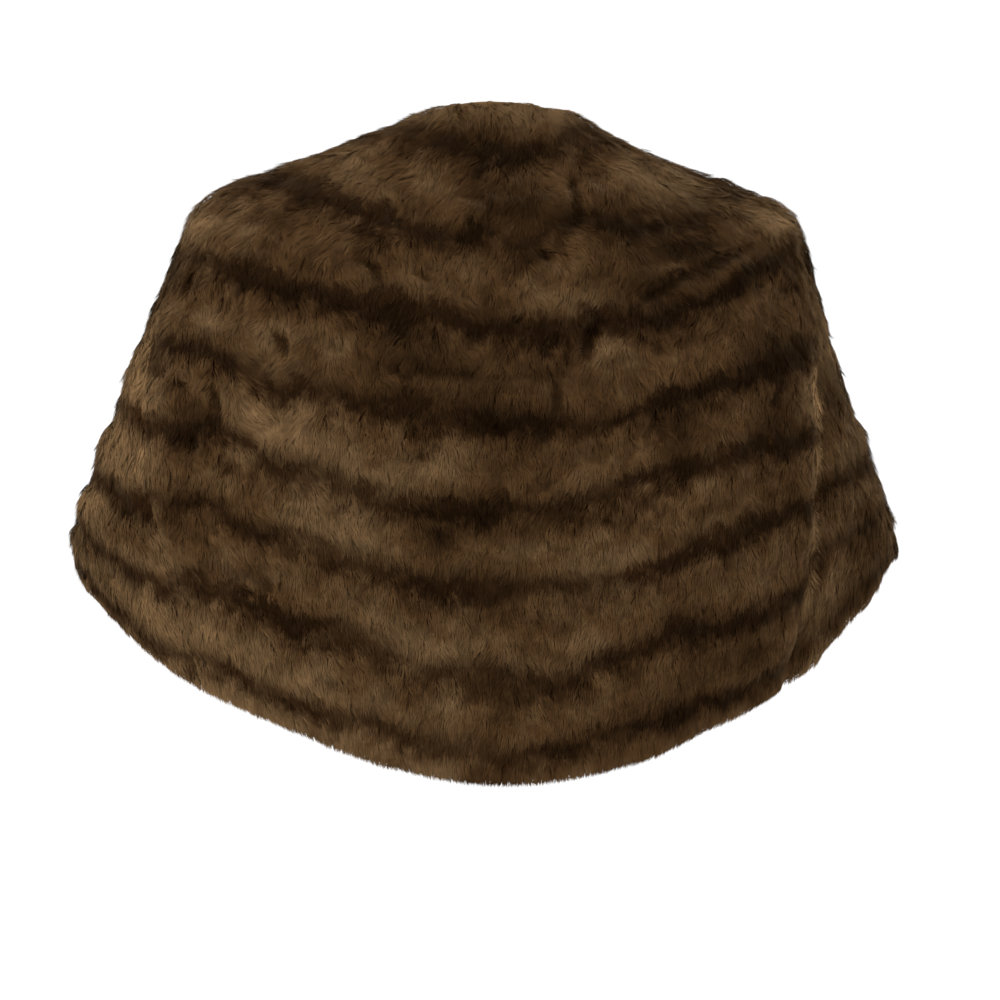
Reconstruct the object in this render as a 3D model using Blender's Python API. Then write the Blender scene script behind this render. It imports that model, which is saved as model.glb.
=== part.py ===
"""A mink stole as it hangs when worn, open in front: eight rows of skins over the back, seven on each front.

Units are metres, +Z is up and the wearer's front faces -Y. The origin is at the base of the wearer's neck,
where the stole rests. Sizes in the tables are millimetres of the coat's outer face, with the fur combed flat.
"""

import math
from functools import lru_cache

import bpy
import numpy as np
from mathutils import Vector

MM = 0.001

# ---- driving sizes ----------------------------------------------------------------------------------
WALL = 12.0            # leather and combed fur together
EDGE_WALL = 4.0        # what is left of the wall at the neck, the hem and the front edges
EDGE_ROUND = 14.0      # how far in from those edges the fur's rounding starts
SEAM_GAP = 0.3         # between one skin and the next
TURN_GAP = 0.5         # where the back's rows meet the fronts' rows, which don't line up
SEAM_DIP = 2.4         # the fur lies lower where two skins meet
CENTRE_DIP = 0.5       # and a little lower along the centre back
TURN_DIP = {"left": 0.5, "right": 1.4}  # and where the back meets a front
DIP_REACH = 9.0        # how far each side of a seam across the rows the dip fades
DIP_SHARPNESS = 1.6    # how quickly a skin's fur drops to the seams above and below it

BACK_ROWS = 8          # skins from the neck to the hem, across the back
FRONT_ROWS = 7         # skins from the neck to the hem, round each arm to the front edge
ROW_STEPS = 6          # mesh steps across a skin
BACK_STEPS = 12        # mesh steps along a back skin
FRONT_STEPS = 16       # mesh steps along a front skin
NEAR_FRONT_EDGE = 1.985  # one more step there, where the fur rounds over the front edge
NEAR_HEM = 0.35        # and one this share of a step from the neck edge and from the hem
TURN_CROWDING = 1.3    # the steps are shorter towards the turn over the arm

SECTION_SAMPLES = 1200  # points that a section's plan is measured with
STEEPEST = 2.5          # a smooth curve's slope at a point, against the gentler of the slopes beside it
NORMAL_STEP = 0.004     # step, in section units, for reading the surface's slope

# ---- sections ---------------------------------------------------------------------------------------
# One row for each line round the stole, from the neck edge (0) to the hem (8). Depths are along Y, heights
# along Z, widths from the centre out. "back" is the centre back, "turn" is where the back turns over the arm,
# "side" is the widest place, and "front" is the front edge. A turn is given as a share of the side's width.
# The centre's tilt is how fast a line rises there towards the wearer's left. Squareness shapes a line seen
# from above: 2 is an ellipse, more is squarer and less is closer to a diamond.
COLUMNS = (
    "back_depth", "back_height", "centre_tilt", "side_depth", "front_depth", "front_height", "front_gap",
    "left_width", "left_height", "left_turn", "left_turn_height", "left_squareness",
    "right_width", "right_height", "right_turn", "right_turn_height", "right_squareness",
)
SECTIONS = (
    (48, 23, 0.00, -6, -64, -24, 50, 60, 14, 0.995, 15, 2.00, 82, 10, 0.995, 12, 2.00),
    (84, -64, 0.00, -10, -100, -74, 56, 162, -22, 0.990, -24, 2.05, 158, -23, 0.990, -26, 2.05),
    (111, -141, 0.02, -14, -128, -124, 62, 250, -59, 0.985, -65, 2.15, 264, -68, 0.985, -76, 2.15),
    (129, -219, 0.05, -18, -146, -174, 67, 289, -142, 0.970, -148, 2.30, 292, -141, 0.965, -151, 2.25),
    (139, -294, 0.05, -22, -156, -224, 72, 315, -212, 0.930, -225, 2.45, 311, -212, 0.915, -229, 2.35),
    (145, -363, 0.03, -27, -163, -272, 76, 335, -268, 0.860, -292, 2.55, 332, -268, 0.850, -298, 2.35),
    (148, -431, 0.04, -32, -168, -316, 80, 352, -309, 0.780, -356, 2.60, 348, -309, 0.800, -365, 2.25),
    (150, -499, 0.06, -37, -171, -358, 83, 362, -340, 0.700, -424, 2.60, 361, -345, 0.740, -430, 1.90),
    (151, -554, 0.06, -40, -173, -396, 86, 366, -362, 0.640, -480, 2.60, 367, -372, 0.700, -480, 1.70),
)

# ---- folds ------------------------------------------------------------------------------------------
# Soft troughs (negative) and ridges (positive) that run down the stole. "along" counts 0 at the centre back,
# 1 at the turn over the arm and 2 at the front edge. "from_row" and "to_row" are section numbers, and a lean
# is how far a fold moves along over LEAN_ROWS sections. Widths and heights are millimetres.
LEAN_ROWS = 4
FOLD_END = 0.72        # a fold ends here on a half wave, so it is deepest a little above its end
FOLD_COLUMNS = ("side", "along", "lean", "from_row", "to_row", "width", "height")
FOLDS = (
    ("left", 1.00, 0.00, 3.2, 8.6, 26.0, -1.5),
    ("left", 1.20, 0.03, 3.6, 8.8, 40.0, 3.5),
    ("left", 0.62, -0.06, 4.4, 8.9, 46.0, -3.0),
    ("left", 0.36, -0.04, 5.4, 9.2, 52.0, 2.4),
    ("left", 1.62, 0.05, 2.6, 8.9, 38.0, -4.0),
    ("left", 1.80, 0.02, 3.4, 9.2, 34.0, 2.6),
    ("right", 1.00, 0.00, 3.0, 8.6, 24.0, -4.5),
    ("right", 1.16, 0.02, 3.4, 8.8, 36.0, 4.0),
    ("right", 0.70, -0.05, 5.0, 9.0, 50.0, -3.4),
    ("right", 0.44, 0.03, 4.6, 8.8, 44.0, 2.2),
    ("right", 1.56, -0.04, 2.8, 9.0, 42.0, -3.6),
    ("right", 1.76, 0.04, 4.0, 9.2, 30.0, 2.8),
)

SHARP_ANGLE = math.radians(50)  # rims meet faces at more than this, and stay crisp

# ---- colours of the fur, row by row -----------------------------------------------------------------
FUR_DARK = (0.030, 0.016, 0.008)
FUR_LIGHT = (0.088, 0.052, 0.026)
FUR_ROUGHNESS = 0.62


def clear_scene():
    """Starts from an empty scene."""
    for item in list(bpy.data.objects):
        bpy.data.objects.remove(item, do_unlink=True)
    for mesh in list(bpy.data.meshes):
        bpy.data.meshes.remove(mesh)


def steady_curve(places, values, at, start_slope=None):
    """Reads a smooth curve through the values that doesn't swing past them."""
    places, values = np.asarray(places, float), np.asarray(values, float)
    spans = np.diff(places)
    rises = np.diff(values) / spans
    slopes = np.empty(len(places))
    slopes[0], slopes[-1] = rises[0], rises[-1]
    for i in range(1, len(places) - 1):
        before, after = rises[i - 1], rises[i]
        if before * after > 0.0:
            mean = (before * spans[i] + after * spans[i - 1]) / (spans[i - 1] + spans[i])
            slopes[i] = math.copysign(min(abs(mean), STEEPEST * min(abs(before), abs(after))), mean)
        else:
            slopes[i] = 0.0
    if start_slope is not None:
        slopes[0] = start_slope
    at = np.asarray(at, float)
    i = np.clip(np.searchsorted(places, at, side="right") - 1, 0, len(spans) - 1)
    t = (at - places[i]) / spans[i]
    start = values[i] + slopes[i] * spans[i] * t * (1.0 - t) ** 2
    end = -slopes[i + 1] * spans[i] * t**2 * (1.0 - t)
    return start + end + (values[i + 1] - values[i]) * t**2 * (3.0 - 2.0 * t)


def section_sizes(row, side):
    """The named sizes of the section at this row, which may lie between two rows of the table."""
    rows = np.arange(len(SECTIONS))
    sizes = {}
    for number, name in enumerate(COLUMNS):
        column = [section[number] for section in SECTIONS]
        sizes[name] = float(steady_curve(rows, column, row))
    for name in ("width", "height", "turn", "turn_height", "squareness"):
        sizes["own_" + name] = sizes[side + "_" + name]
    sizes["own_tilt"] = sizes["centre_tilt"] if side == "left" else -sizes["centre_tilt"]
    return sizes


def section_plan(sizes):
    """Half of a section seen from above, from the centre back round the side to the front edge."""
    power = 2.0 / sizes["own_squareness"]
    width = sizes["own_width"]
    last = math.pi - math.asin((sizes["front_gap"] / width) ** (1.0 / power))
    turn = np.linspace(0.0, last, SECTION_SAMPLES)
    across = width * np.sin(turn) ** power
    reach = np.abs(np.cos(turn)) ** power
    behind = sizes["back_depth"] - sizes["side_depth"]
    ahead = sizes["side_depth"] - sizes["front_depth"]
    depth = sizes["side_depth"] + np.where(turn < math.pi / 2, behind, -ahead) * reach
    return across, depth


@lru_cache(maxsize=None)
def section(row, side):
    """A section's sizes, its plan, the distance along it, and that distance at the turn, side and edge."""
    sizes = section_sizes(row, side)
    across, depth = section_plan(sizes)
    length = np.concatenate(([0.0], np.cumsum(np.hypot(np.diff(across), np.diff(depth)))))
    widest = int(np.argmax(across))
    at_turn = float(np.interp(sizes["own_turn"] * sizes["own_width"], across[:widest], length[:widest]))
    return sizes, across, depth, length, (at_turn, length[widest], length[-1])


def distance_along(row, side, along):
    """Millimetres from the centre back. along counts 0 there, 1 at the turn over the arm, 2 at the edge."""
    at_turn, _, at_edge = section(row, side)[-1]
    return np.where(along <= 1.0, along * at_turn, at_turn + (along - 1.0) * (at_edge - at_turn))


def section_points(row, side, along):
    """Points of a section at these places along it."""
    sizes, across, depth, length, (at_turn, at_side, at_edge) = section(row, side)
    place = distance_along(row, side, along)
    x = np.interp(place, length, across)
    y = np.interp(place, length, depth)
    z = steady_curve(
        (0.0, at_turn, at_side, at_edge),
        (sizes["back_height"], sizes["own_turn_height"], sizes["own_height"], sizes["front_height"]),
        place, start_slope=sizes["own_tilt"])
    return np.stack((x, y, z), axis=-1)


def mirror_if_right(points, side):
    """The wearer's left is at +X."""
    return points * (1.0 if side == "left" else -1.0, 1.0, 1.0)


def coat(side, along, rows):
    """The outer face and the way out of it over a grid of places, rows down and along across, unfolded."""
    along, rows = np.asarray(along, float), np.asarray(rows, float)
    last_row = len(SECTIONS) - 1

    def grid(at_along, at_rows):
        return np.stack([section_points(row, side, at_along) for row in at_rows])

    def grid_past_centre(at_along):
        points = grid(np.abs(at_along), rows)
        points[:, at_along < 0.0, 0] *= -1.0
        return points

    points = grid(along, rows)
    ahead = grid_past_centre(np.minimum(along + NORMAL_STEP, 2.0))
    behind = grid_past_centre(np.minimum(along, 2.0) - NORMAL_STEP)
    below = grid(along, np.minimum(rows + NORMAL_STEP, last_row))
    above = grid(along, np.maximum(rows - NORMAL_STEP, 0.0))
    outward = np.cross(ahead - behind, below - above)
    outward /= np.linalg.norm(outward, axis=-1, keepdims=True)
    return points, outward


def fold_height(side, along, rows):
    """How far the folds move the wall, at each place of a grid."""
    total = np.zeros((len(rows), len(along)))
    for values in FOLDS:
        fold = dict(zip(FOLD_COLUMNS, values))
        if fold["side"] != side:
            continue
        middle = fold["along"] + fold["lean"] * (rows - fold["from_row"]) / LEAN_ROWS
        distance = np.stack([
            distance_along(row, side, along) - distance_along(row, side, centre)
            for row, centre in zip(rows, middle)])
        share = np.clip((rows - fold["from_row"]) / (fold["to_row"] - fold["from_row"]), 0.0, 1.0)
        strength = np.sin(math.pi * FOLD_END * share) ** 1.5
        total += fold["height"] * strength[:, None] * np.exp(-((distance / (0.5 * fold["width"])) ** 2))
    return total


def edge_rounding(distance):
    """How much the outer face drops at this distance from a free edge, as a quarter of an ellipse."""
    near = np.clip(1.0 - distance / EDGE_ROUND, 0.0, 1.0)
    return (WALL - EDGE_WALL) * (1.0 - np.sqrt(1.0 - near**2))


def distances(points, axis):
    """Millimetres from the grid's first line of points, down the grid (axis 0) or across it (axis 1)."""
    steps = np.linalg.norm(np.diff(points, axis=axis), axis=-1)
    start = np.zeros_like(np.take(steps, [0], axis=axis))
    return np.concatenate((start, np.cumsum(steps, axis=axis)), axis=axis)


def skin_faces(panel, side, along, rows):
    """The outer and inner face of one skin's wall, in millimetres, as grids of points."""
    points, outward = coat(side, along, rows)
    drop, run = distances(points, 0), distances(points, 1)
    lift = fold_height(side, along, rows)

    first, last = rows[0], rows[-1]
    share = (rows - first) / (last - first)
    lower = SEAM_DIP * (1.0 - np.sin(math.pi * share)) ** DIP_SHARPNESS
    lower = np.repeat(lower[:, None], len(along), axis=1)
    run_left = run[:, -1:] - run
    if panel == "front":
        lower += TURN_DIP[side] * np.exp(-((run / DIP_REACH) ** 2)) + edge_rounding(run_left)
    else:
        lower += CENTRE_DIP * np.exp(-((run / DIP_REACH) ** 2))
        lower += TURN_DIP[side] * np.exp(-((run_left / DIP_REACH) ** 2))
    if first <= 0.0:
        lower += edge_rounding(drop)
    if last >= len(SECTIONS) - 1:
        lower += edge_rounding(drop[-1:] - drop)
    lower = np.minimum(lower, WALL - EDGE_WALL)

    base = points + outward * lift[..., None]
    outer = mirror_if_right(base - outward * lower[..., None], side)
    inner = mirror_if_right(base - outward * WALL, side)
    return outer, inner


def draw_in(grid, gaps_along):
    """Moves the rim of a grid in by half of each seam's gap. gaps_along are those at its start and end."""
    moved = grid.copy()
    for edge, beside in ((0, 1), (-1, -2)):
        across = grid[beside] - grid[edge]
        moved[edge] += across / np.linalg.norm(across, axis=-1, keepdims=True) * (SEAM_GAP / 2)
    drawn = moved.copy()
    for edge, beside, gap in ((0, 1, gaps_along[0]), (-1, -2, gaps_along[1])):
        along = moved[:, beside] - moved[:, edge]
        drawn[:, edge] += along / np.linalg.norm(along, axis=-1, keepdims=True) * (gap / 2)
    return drawn


def loft_wall(name, outer, inner, flip):
    """Joins an outer and an inner grid into one closed wall."""
    down, across = outer.shape[:2]
    vertices = [Vector(point) * MM for grid in (outer, inner) for point in grid.reshape(-1, 3)]

    def at(layer, i, j):
        return (layer * down + i) * across + j

    faces = []
    for i in range(down - 1):
        for j in range(across - 1):
            faces.append((at(0, i, j), at(0, i + 1, j), at(0, i + 1, j + 1), at(0, i, j + 1)))
            faces.append((at(1, i, j), at(1, i, j + 1), at(1, i + 1, j + 1), at(1, i + 1, j)))
    # The rims are split along the same diagonal on every skin, so two skins' rims match where they twist.
    for j in range(across - 1):
        for i, turned in ((0, False), (down - 1, True)):
            a, b, c, d = at(0, i, j), at(0, i, j + 1), at(1, i, j + 1), at(1, i, j)
            faces.extend(((a, c, b), (a, d, c)) if turned else ((a, b, c), (a, c, d)))
    for i in range(down - 1):
        for j, turned in ((0, True), (across - 1, False)):
            a, b, c, d = at(0, i, j), at(0, i + 1, j), at(1, i + 1, j), at(1, i, j)
            faces.extend(((a, c, b), (a, d, c)) if turned else ((a, b, c), (a, c, d)))
    if flip:
        faces = [tuple(reversed(face)) for face in faces]
    mesh = bpy.data.meshes.new(name)
    mesh.from_pydata(vertices, [], faces)
    mesh.shade_smooth()
    mesh.set_sharp_from_angle(angle=SHARP_ANGLE)
    mesh.update()
    return bpy.data.objects.new(name, mesh)


def fur_material(name, lightness):
    """Brown fur, darker or lighter from skin to skin."""
    material = bpy.data.materials.new(name)
    material.use_nodes = True
    shader = material.node_tree.nodes["Principled BSDF"]
    colour = [dark + (light - dark) * lightness for dark, light in zip(FUR_DARK, FUR_LIGHT)]
    shader.inputs["Base Color"].default_value = (*colour, 1.0)
    shader.inputs["Roughness"].default_value = FUR_ROUGHNESS
    shader.inputs["Metallic"].default_value = 0.0
    material.diffuse_color = (*colour, 1.0)
    return material


def row_samples(first, last):
    """Mesh rows across a skin, with one more close to a free edge, where the fur rounds over."""
    rows = list(np.linspace(first, last, ROW_STEPS + 1))
    near_edge = NEAR_HEM * (rows[1] - rows[0])
    if first <= 0.0:
        rows.insert(1, first + near_edge)
    if last >= len(SECTIONS) - 1:
        rows.insert(-1, last - near_edge)
    return np.array(rows)


def add_skin(collection, panel, side, number, count):
    """One skin: a closed wall between two seams."""
    first = (number - 1) * (len(SECTIONS) - 1) / count
    last = number * (len(SECTIONS) - 1) / count
    rows = row_samples(first, last)
    if panel == "back":
        along = 1.0 - np.linspace(1.0, 0.0, BACK_STEPS + 1) ** TURN_CROWDING
        gaps_along = (SEAM_GAP, TURN_GAP)
    else:
        along = np.insert(1.0 + np.linspace(0.0, 1.0, FRONT_STEPS + 1) ** TURN_CROWDING, -1, NEAR_FRONT_EDGE)
        gaps_along = (TURN_GAP, SEAM_GAP)
    outer, inner = skin_faces(panel, side, along, rows)
    name = f"{panel}_{side}_{number}"
    skin = loft_wall(name, draw_in(outer, gaps_along), draw_in(inner, gaps_along), flip=side == "left")
    lightness = 0.5 + 0.35 * math.sin(2.4 * number + (1.0 if panel == "front" else 0.0))
    skin.data.materials.append(fur_material("fur_" + name, lightness))
    collection.objects.link(skin)
    return skin


def main():
    clear_scene()
    collection = bpy.data.collections.new("mink_stole")
    bpy.context.scene.collection.children.link(collection)
    for side in ("left", "right"):
        for number in range(1, BACK_ROWS + 1):
            add_skin(collection, "back", side, number, BACK_ROWS)
        for number in range(1, FRONT_ROWS + 1):
            add_skin(collection, "front", side, number, FRONT_ROWS)


main()
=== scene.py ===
# %% [markdown]
# # A mink stole, worn open over the shoulders
#
# The real object is made of long, narrow mink skins sewn edge to edge in rows. Each skin is dark
# along the animal's spine and lighter at its flanks, so the rows show as dark bands on brown. The
# hair lies downwards. This lesson builds it in the order in which a furrier would think of it: the
# shape that the rows take when the stole hangs, the leather that is sewn, the dense underfur on it,
# and last the guard hair, some hundreds of thousands of strands.

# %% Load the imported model
import math
from functools import lru_cache

import bpy
import numpy as np
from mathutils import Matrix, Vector


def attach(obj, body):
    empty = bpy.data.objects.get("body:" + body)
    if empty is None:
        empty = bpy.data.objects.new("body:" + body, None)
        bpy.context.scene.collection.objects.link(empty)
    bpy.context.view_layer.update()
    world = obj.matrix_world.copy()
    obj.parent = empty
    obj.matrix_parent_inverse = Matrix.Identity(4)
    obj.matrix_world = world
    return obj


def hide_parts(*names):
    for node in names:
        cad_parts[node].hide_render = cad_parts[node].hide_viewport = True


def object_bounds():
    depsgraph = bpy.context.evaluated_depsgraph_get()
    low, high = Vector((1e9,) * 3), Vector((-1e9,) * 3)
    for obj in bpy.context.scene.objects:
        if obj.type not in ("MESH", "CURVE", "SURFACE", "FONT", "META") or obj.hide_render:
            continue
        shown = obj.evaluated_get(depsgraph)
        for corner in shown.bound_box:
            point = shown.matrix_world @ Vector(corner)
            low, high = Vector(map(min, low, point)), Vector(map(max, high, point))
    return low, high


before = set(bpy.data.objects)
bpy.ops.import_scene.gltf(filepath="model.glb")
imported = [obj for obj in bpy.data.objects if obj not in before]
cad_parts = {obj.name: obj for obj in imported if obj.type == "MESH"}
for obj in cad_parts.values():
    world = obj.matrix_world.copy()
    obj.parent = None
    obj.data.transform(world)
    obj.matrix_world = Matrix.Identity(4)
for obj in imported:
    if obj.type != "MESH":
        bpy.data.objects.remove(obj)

MM = 0.001
cad_low, cad_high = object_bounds()
cad_size = [round(side / MM) for side in cad_high - cad_low]
print("packed model:", len(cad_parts), "skins,", cad_size, "mm")

# %% [markdown]
# ## The shape of the hanging stole
#
# Nine lines run round the stole, from the neck edge to the hem, and each is a rounded plan with its
# own depth, width and heights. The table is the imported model's own, in millimetres of the combed
# fur's face. A body that is given by a few lines could also be sculpted, but then no seam or stripe
# would know where it belongs.

# %% The lines round the stole
COLUMNS = (
    "back_depth", "back_height", "centre_tilt", "side_depth", "front_depth", "front_height",
    "front_gap", "left_width", "left_height", "left_turn", "left_turn_height", "left_squareness",
    "right_width", "right_height", "right_turn", "right_turn_height", "right_squareness",
)
SECTIONS = (
    (48, 23, 0, -6, -64, -24, 50, 60, 14, 0.995, 15, 2, 82, 10, 0.995, 12, 2),
    (84, -64, 0, -10, -100, -74, 56, 162, -22, 0.99, -24, 2.05, 158, -23, 0.99, -26, 2.05),
    (111, -141, 0.02, -14, -128, -124, 62, 250, -59, 0.985, -65, 2.15, 264, -68, 0.985, -76, 2.15),
    (129, -219, 0.05, -18, -146, -174, 67, 289, -142, 0.97, -148, 2.3, 292, -141, 0.965, -151, 2.25),
    (139, -294, 0.05, -22, -156, -224, 72, 315, -212, 0.93, -225, 2.45, 311, -212, 0.915, -229, 2.35),
    (145, -363, 0.03, -27, -163, -272, 76, 335, -268, 0.86, -292, 2.55, 332, -268, 0.85, -298, 2.35),
    (148, -431, 0.04, -32, -168, -316, 80, 352, -309, 0.78, -356, 2.6, 348, -309, 0.8, -365, 2.25),
    (150, -499, 0.06, -37, -171, -358, 83, 362, -340, 0.7, -424, 2.6, 361, -345, 0.74, -430, 1.9),
    (151, -554, 0.06, -40, -173, -396, 86, 366, -362, 0.64, -480, 2.6, 367, -372, 0.7, -480, 1.7),
)
HEM_ROW = len(SECTIONS) - 1
print("neck edge to hem at the centre back:", SECTIONS[0][1] - SECTIONS[-1][1], "mm")

# %% [markdown]
# ## Places between the lines
#
# A place on the fur is two numbers: "row", from 0 at the neck to 8 at the hem, and "along", 0 at
# the centre back, 1 where the back turns over the arm and 2 at the front edge. Everything that
# follows is placed with those two numbers, so that hair, seams and stripes stay together. Between
# two lines every size is read from a smooth curve.

# %% Points between the lines
STEEPEST = 2.5          # a smooth curve's slope at a point, against the gentler slope beside it
SECTION_SAMPLES = 600   # points that a line's plan is measured with


def steady_curve(places, values, at, start_slope=None):
    """Reads a smooth curve through the values that doesn't swing past them."""
    places, values = np.asarray(places, float), np.asarray(values, float)
    spans = np.diff(places)
    rises = np.diff(values) / spans
    slopes = np.empty(len(places))
    slopes[0], slopes[-1] = rises[0], rises[-1]
    for i in range(1, len(places) - 1):
        before, after = rises[i - 1], rises[i]
        slopes[i] = 0.0
        if before * after > 0.0:
            mean = (before * spans[i] + after * spans[i - 1]) / (spans[i - 1] + spans[i])
            limit = STEEPEST * min(abs(before), abs(after))
            slopes[i] = math.copysign(min(abs(mean), limit), mean)
    if start_slope is not None:
        slopes[0] = start_slope
    at = np.asarray(at, float)
    i = np.clip(np.searchsorted(places, at, side="right") - 1, 0, len(spans) - 1)
    t = (at - places[i]) / spans[i]
    start = values[i] + slopes[i] * spans[i] * t * (1.0 - t) ** 2
    end = -slopes[i + 1] * spans[i] * t**2 * (1.0 - t)
    return start + end + (values[i + 1] - values[i]) * t**2 * (3.0 - 2.0 * t)


@lru_cache(maxsize=None)
def section(row, side):
    """A line's sizes, its plan, the distance along it, and how far the turn, side and edge are."""
    rows = np.arange(len(SECTIONS))
    table = np.array(SECTIONS, float)
    sizes = {
        name: float(steady_curve(rows, table[:, i], row)) for i, name in enumerate(COLUMNS)}
    width, squareness = sizes[side + "_width"], sizes[side + "_squareness"]
    power = 2.0 / squareness
    last = math.pi - math.asin((sizes["front_gap"] / width) ** (1.0 / power))
    turn = np.linspace(0.0, last, SECTION_SAMPLES)
    across = width * np.sin(turn) ** power
    behind = sizes["back_depth"] - sizes["side_depth"]
    ahead = sizes["side_depth"] - sizes["front_depth"]
    reach = np.abs(np.cos(turn)) ** power
    depth = sizes["side_depth"] + np.where(turn < math.pi / 2, behind, -ahead) * reach
    length = np.concatenate(([0.0], np.cumsum(np.hypot(np.diff(across), np.diff(depth)))))
    widest = int(np.argmax(across))
    at_turn = float(np.interp(sizes[side + "_turn"] * width, across[:widest], length[:widest]))
    return sizes, across, depth, length, (at_turn, length[widest], length[-1])


def distance_along(row, side, along):
    """Millimetres from the centre back at this row."""
    at_turn, _, at_edge = section(row, side)[-1]
    past_turn = at_turn + (along - 1.0) * (at_edge - at_turn)
    return np.where(along <= 1.0, along * at_turn, past_turn)


def section_points(row, side, along):
    """Points of the line at this row, in millimetres, as for the wearer's left."""
    sizes, across, depth, length, (at_turn, at_side, at_edge) = section(row, side)
    place = distance_along(row, side, np.abs(along))
    tilt = sizes["centre_tilt"] if side == "left" else -sizes["centre_tilt"]
    heights = [sizes[name] for name in (
        "back_height", side + "_turn_height", side + "_height", "front_height")]
    z = steady_curve((0.0, at_turn, at_side, at_edge), heights, place, start_slope=tilt)
    x = np.interp(place, length, across) * np.where(along < 0.0, -1.0, 1.0)
    return np.stack((x, np.interp(place, length, depth), z), axis=-1)


def place(along, row):
    """The point of the fur's face at one place. Along is negative on the wearer's right."""
    side = "left" if along >= 0.0 else "right"
    point = section_points(row, side, np.array([abs(along)]))[0]
    return point * (1.0 if side == "left" else -1.0, 1.0, 1.0)


print("left hem, centre back to front edge:", round(section(HEM_ROW, "left")[-1][2]), "mm")

# %% [markdown]
# ## Broad folds
#
# A hanging stole isn't smooth. Broad folds run down it from the turn over the arm, some of them
# ridges and some of them valleys. Each is a row of a table: where it starts along its row, how far
# it leans in four rows, the rows it runs between, and its width and height in millimetres. Its
# strength swells smoothly on the way down.

# %% Folds
LEAN_ROWS = 4
FOLD_END = 0.72         # how far through half a wave a fold's strength is at its end
FOLD_SWELL = 1.5        # above 1, a fold starts softly
FOLD_COLUMNS = ("side", "along", "lean", "from_row", "to_row", "width", "height")
FOLDS = (
    ("left", 1.00, 0.00, 3.2, 8.6, 26.0, -1.5),
    ("left", 1.20, 0.03, 3.6, 8.8, 40.0, 3.5),
    ("left", 0.62, -0.06, 4.4, 8.9, 46.0, -3.0),
    ("left", 0.36, -0.04, 5.4, 9.2, 52.0, 2.4),
    ("left", 1.62, 0.05, 2.6, 8.9, 38.0, -4.0),
    ("left", 1.80, 0.02, 3.4, 9.2, 34.0, 2.6),
    ("right", 1.00, 0.00, 3.0, 8.6, 24.0, -4.5),
    ("right", 1.16, 0.02, 3.4, 8.8, 36.0, 4.0),
    ("right", 0.70, -0.05, 5.0, 9.0, 50.0, -3.4),
    ("right", 0.44, 0.03, 4.6, 8.8, 44.0, 2.2),
    ("right", 1.56, -0.04, 2.8, 9.0, 42.0, -3.6),
    ("right", 1.76, 0.04, 4.0, 9.2, 30.0, 2.8),
)


def rows_of(columns, table):
    """A table's rows by name. What a row leaves out at its end is 0."""
    return [dict(zip(columns, (*values, 0.0))) for values in table]


def near(distance, reach):
    """1 at no distance, and nearly 0 from twice the reach on."""
    return np.exp(-((distance / reach) ** 2))


def fold_height(side, along, rows):
    """How far the broad folds move the wall, at each place of a grid."""
    total = np.zeros((len(rows), len(along)))
    for fold in rows_of(FOLD_COLUMNS, FOLDS):
        if fold["side"] != side:
            continue
        middle = fold["along"] + fold["lean"] * (rows - fold["from_row"]) / LEAN_ROWS
        distance = np.stack([
            distance_along(row, side, along) - distance_along(row, side, centre)
            for row, centre in zip(rows, middle)])
        share = (rows - fold["from_row"]) / (fold["to_row"] - fold["from_row"])
        strength = np.sin(math.pi * FOLD_END * np.clip(share, 0.0, 1.0)) ** FOLD_SWELL
        total += fold["height"] * strength[:, None] * near(distance, 0.5 * fold["width"])
    return total


print("folds:", len(FOLDS))
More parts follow.
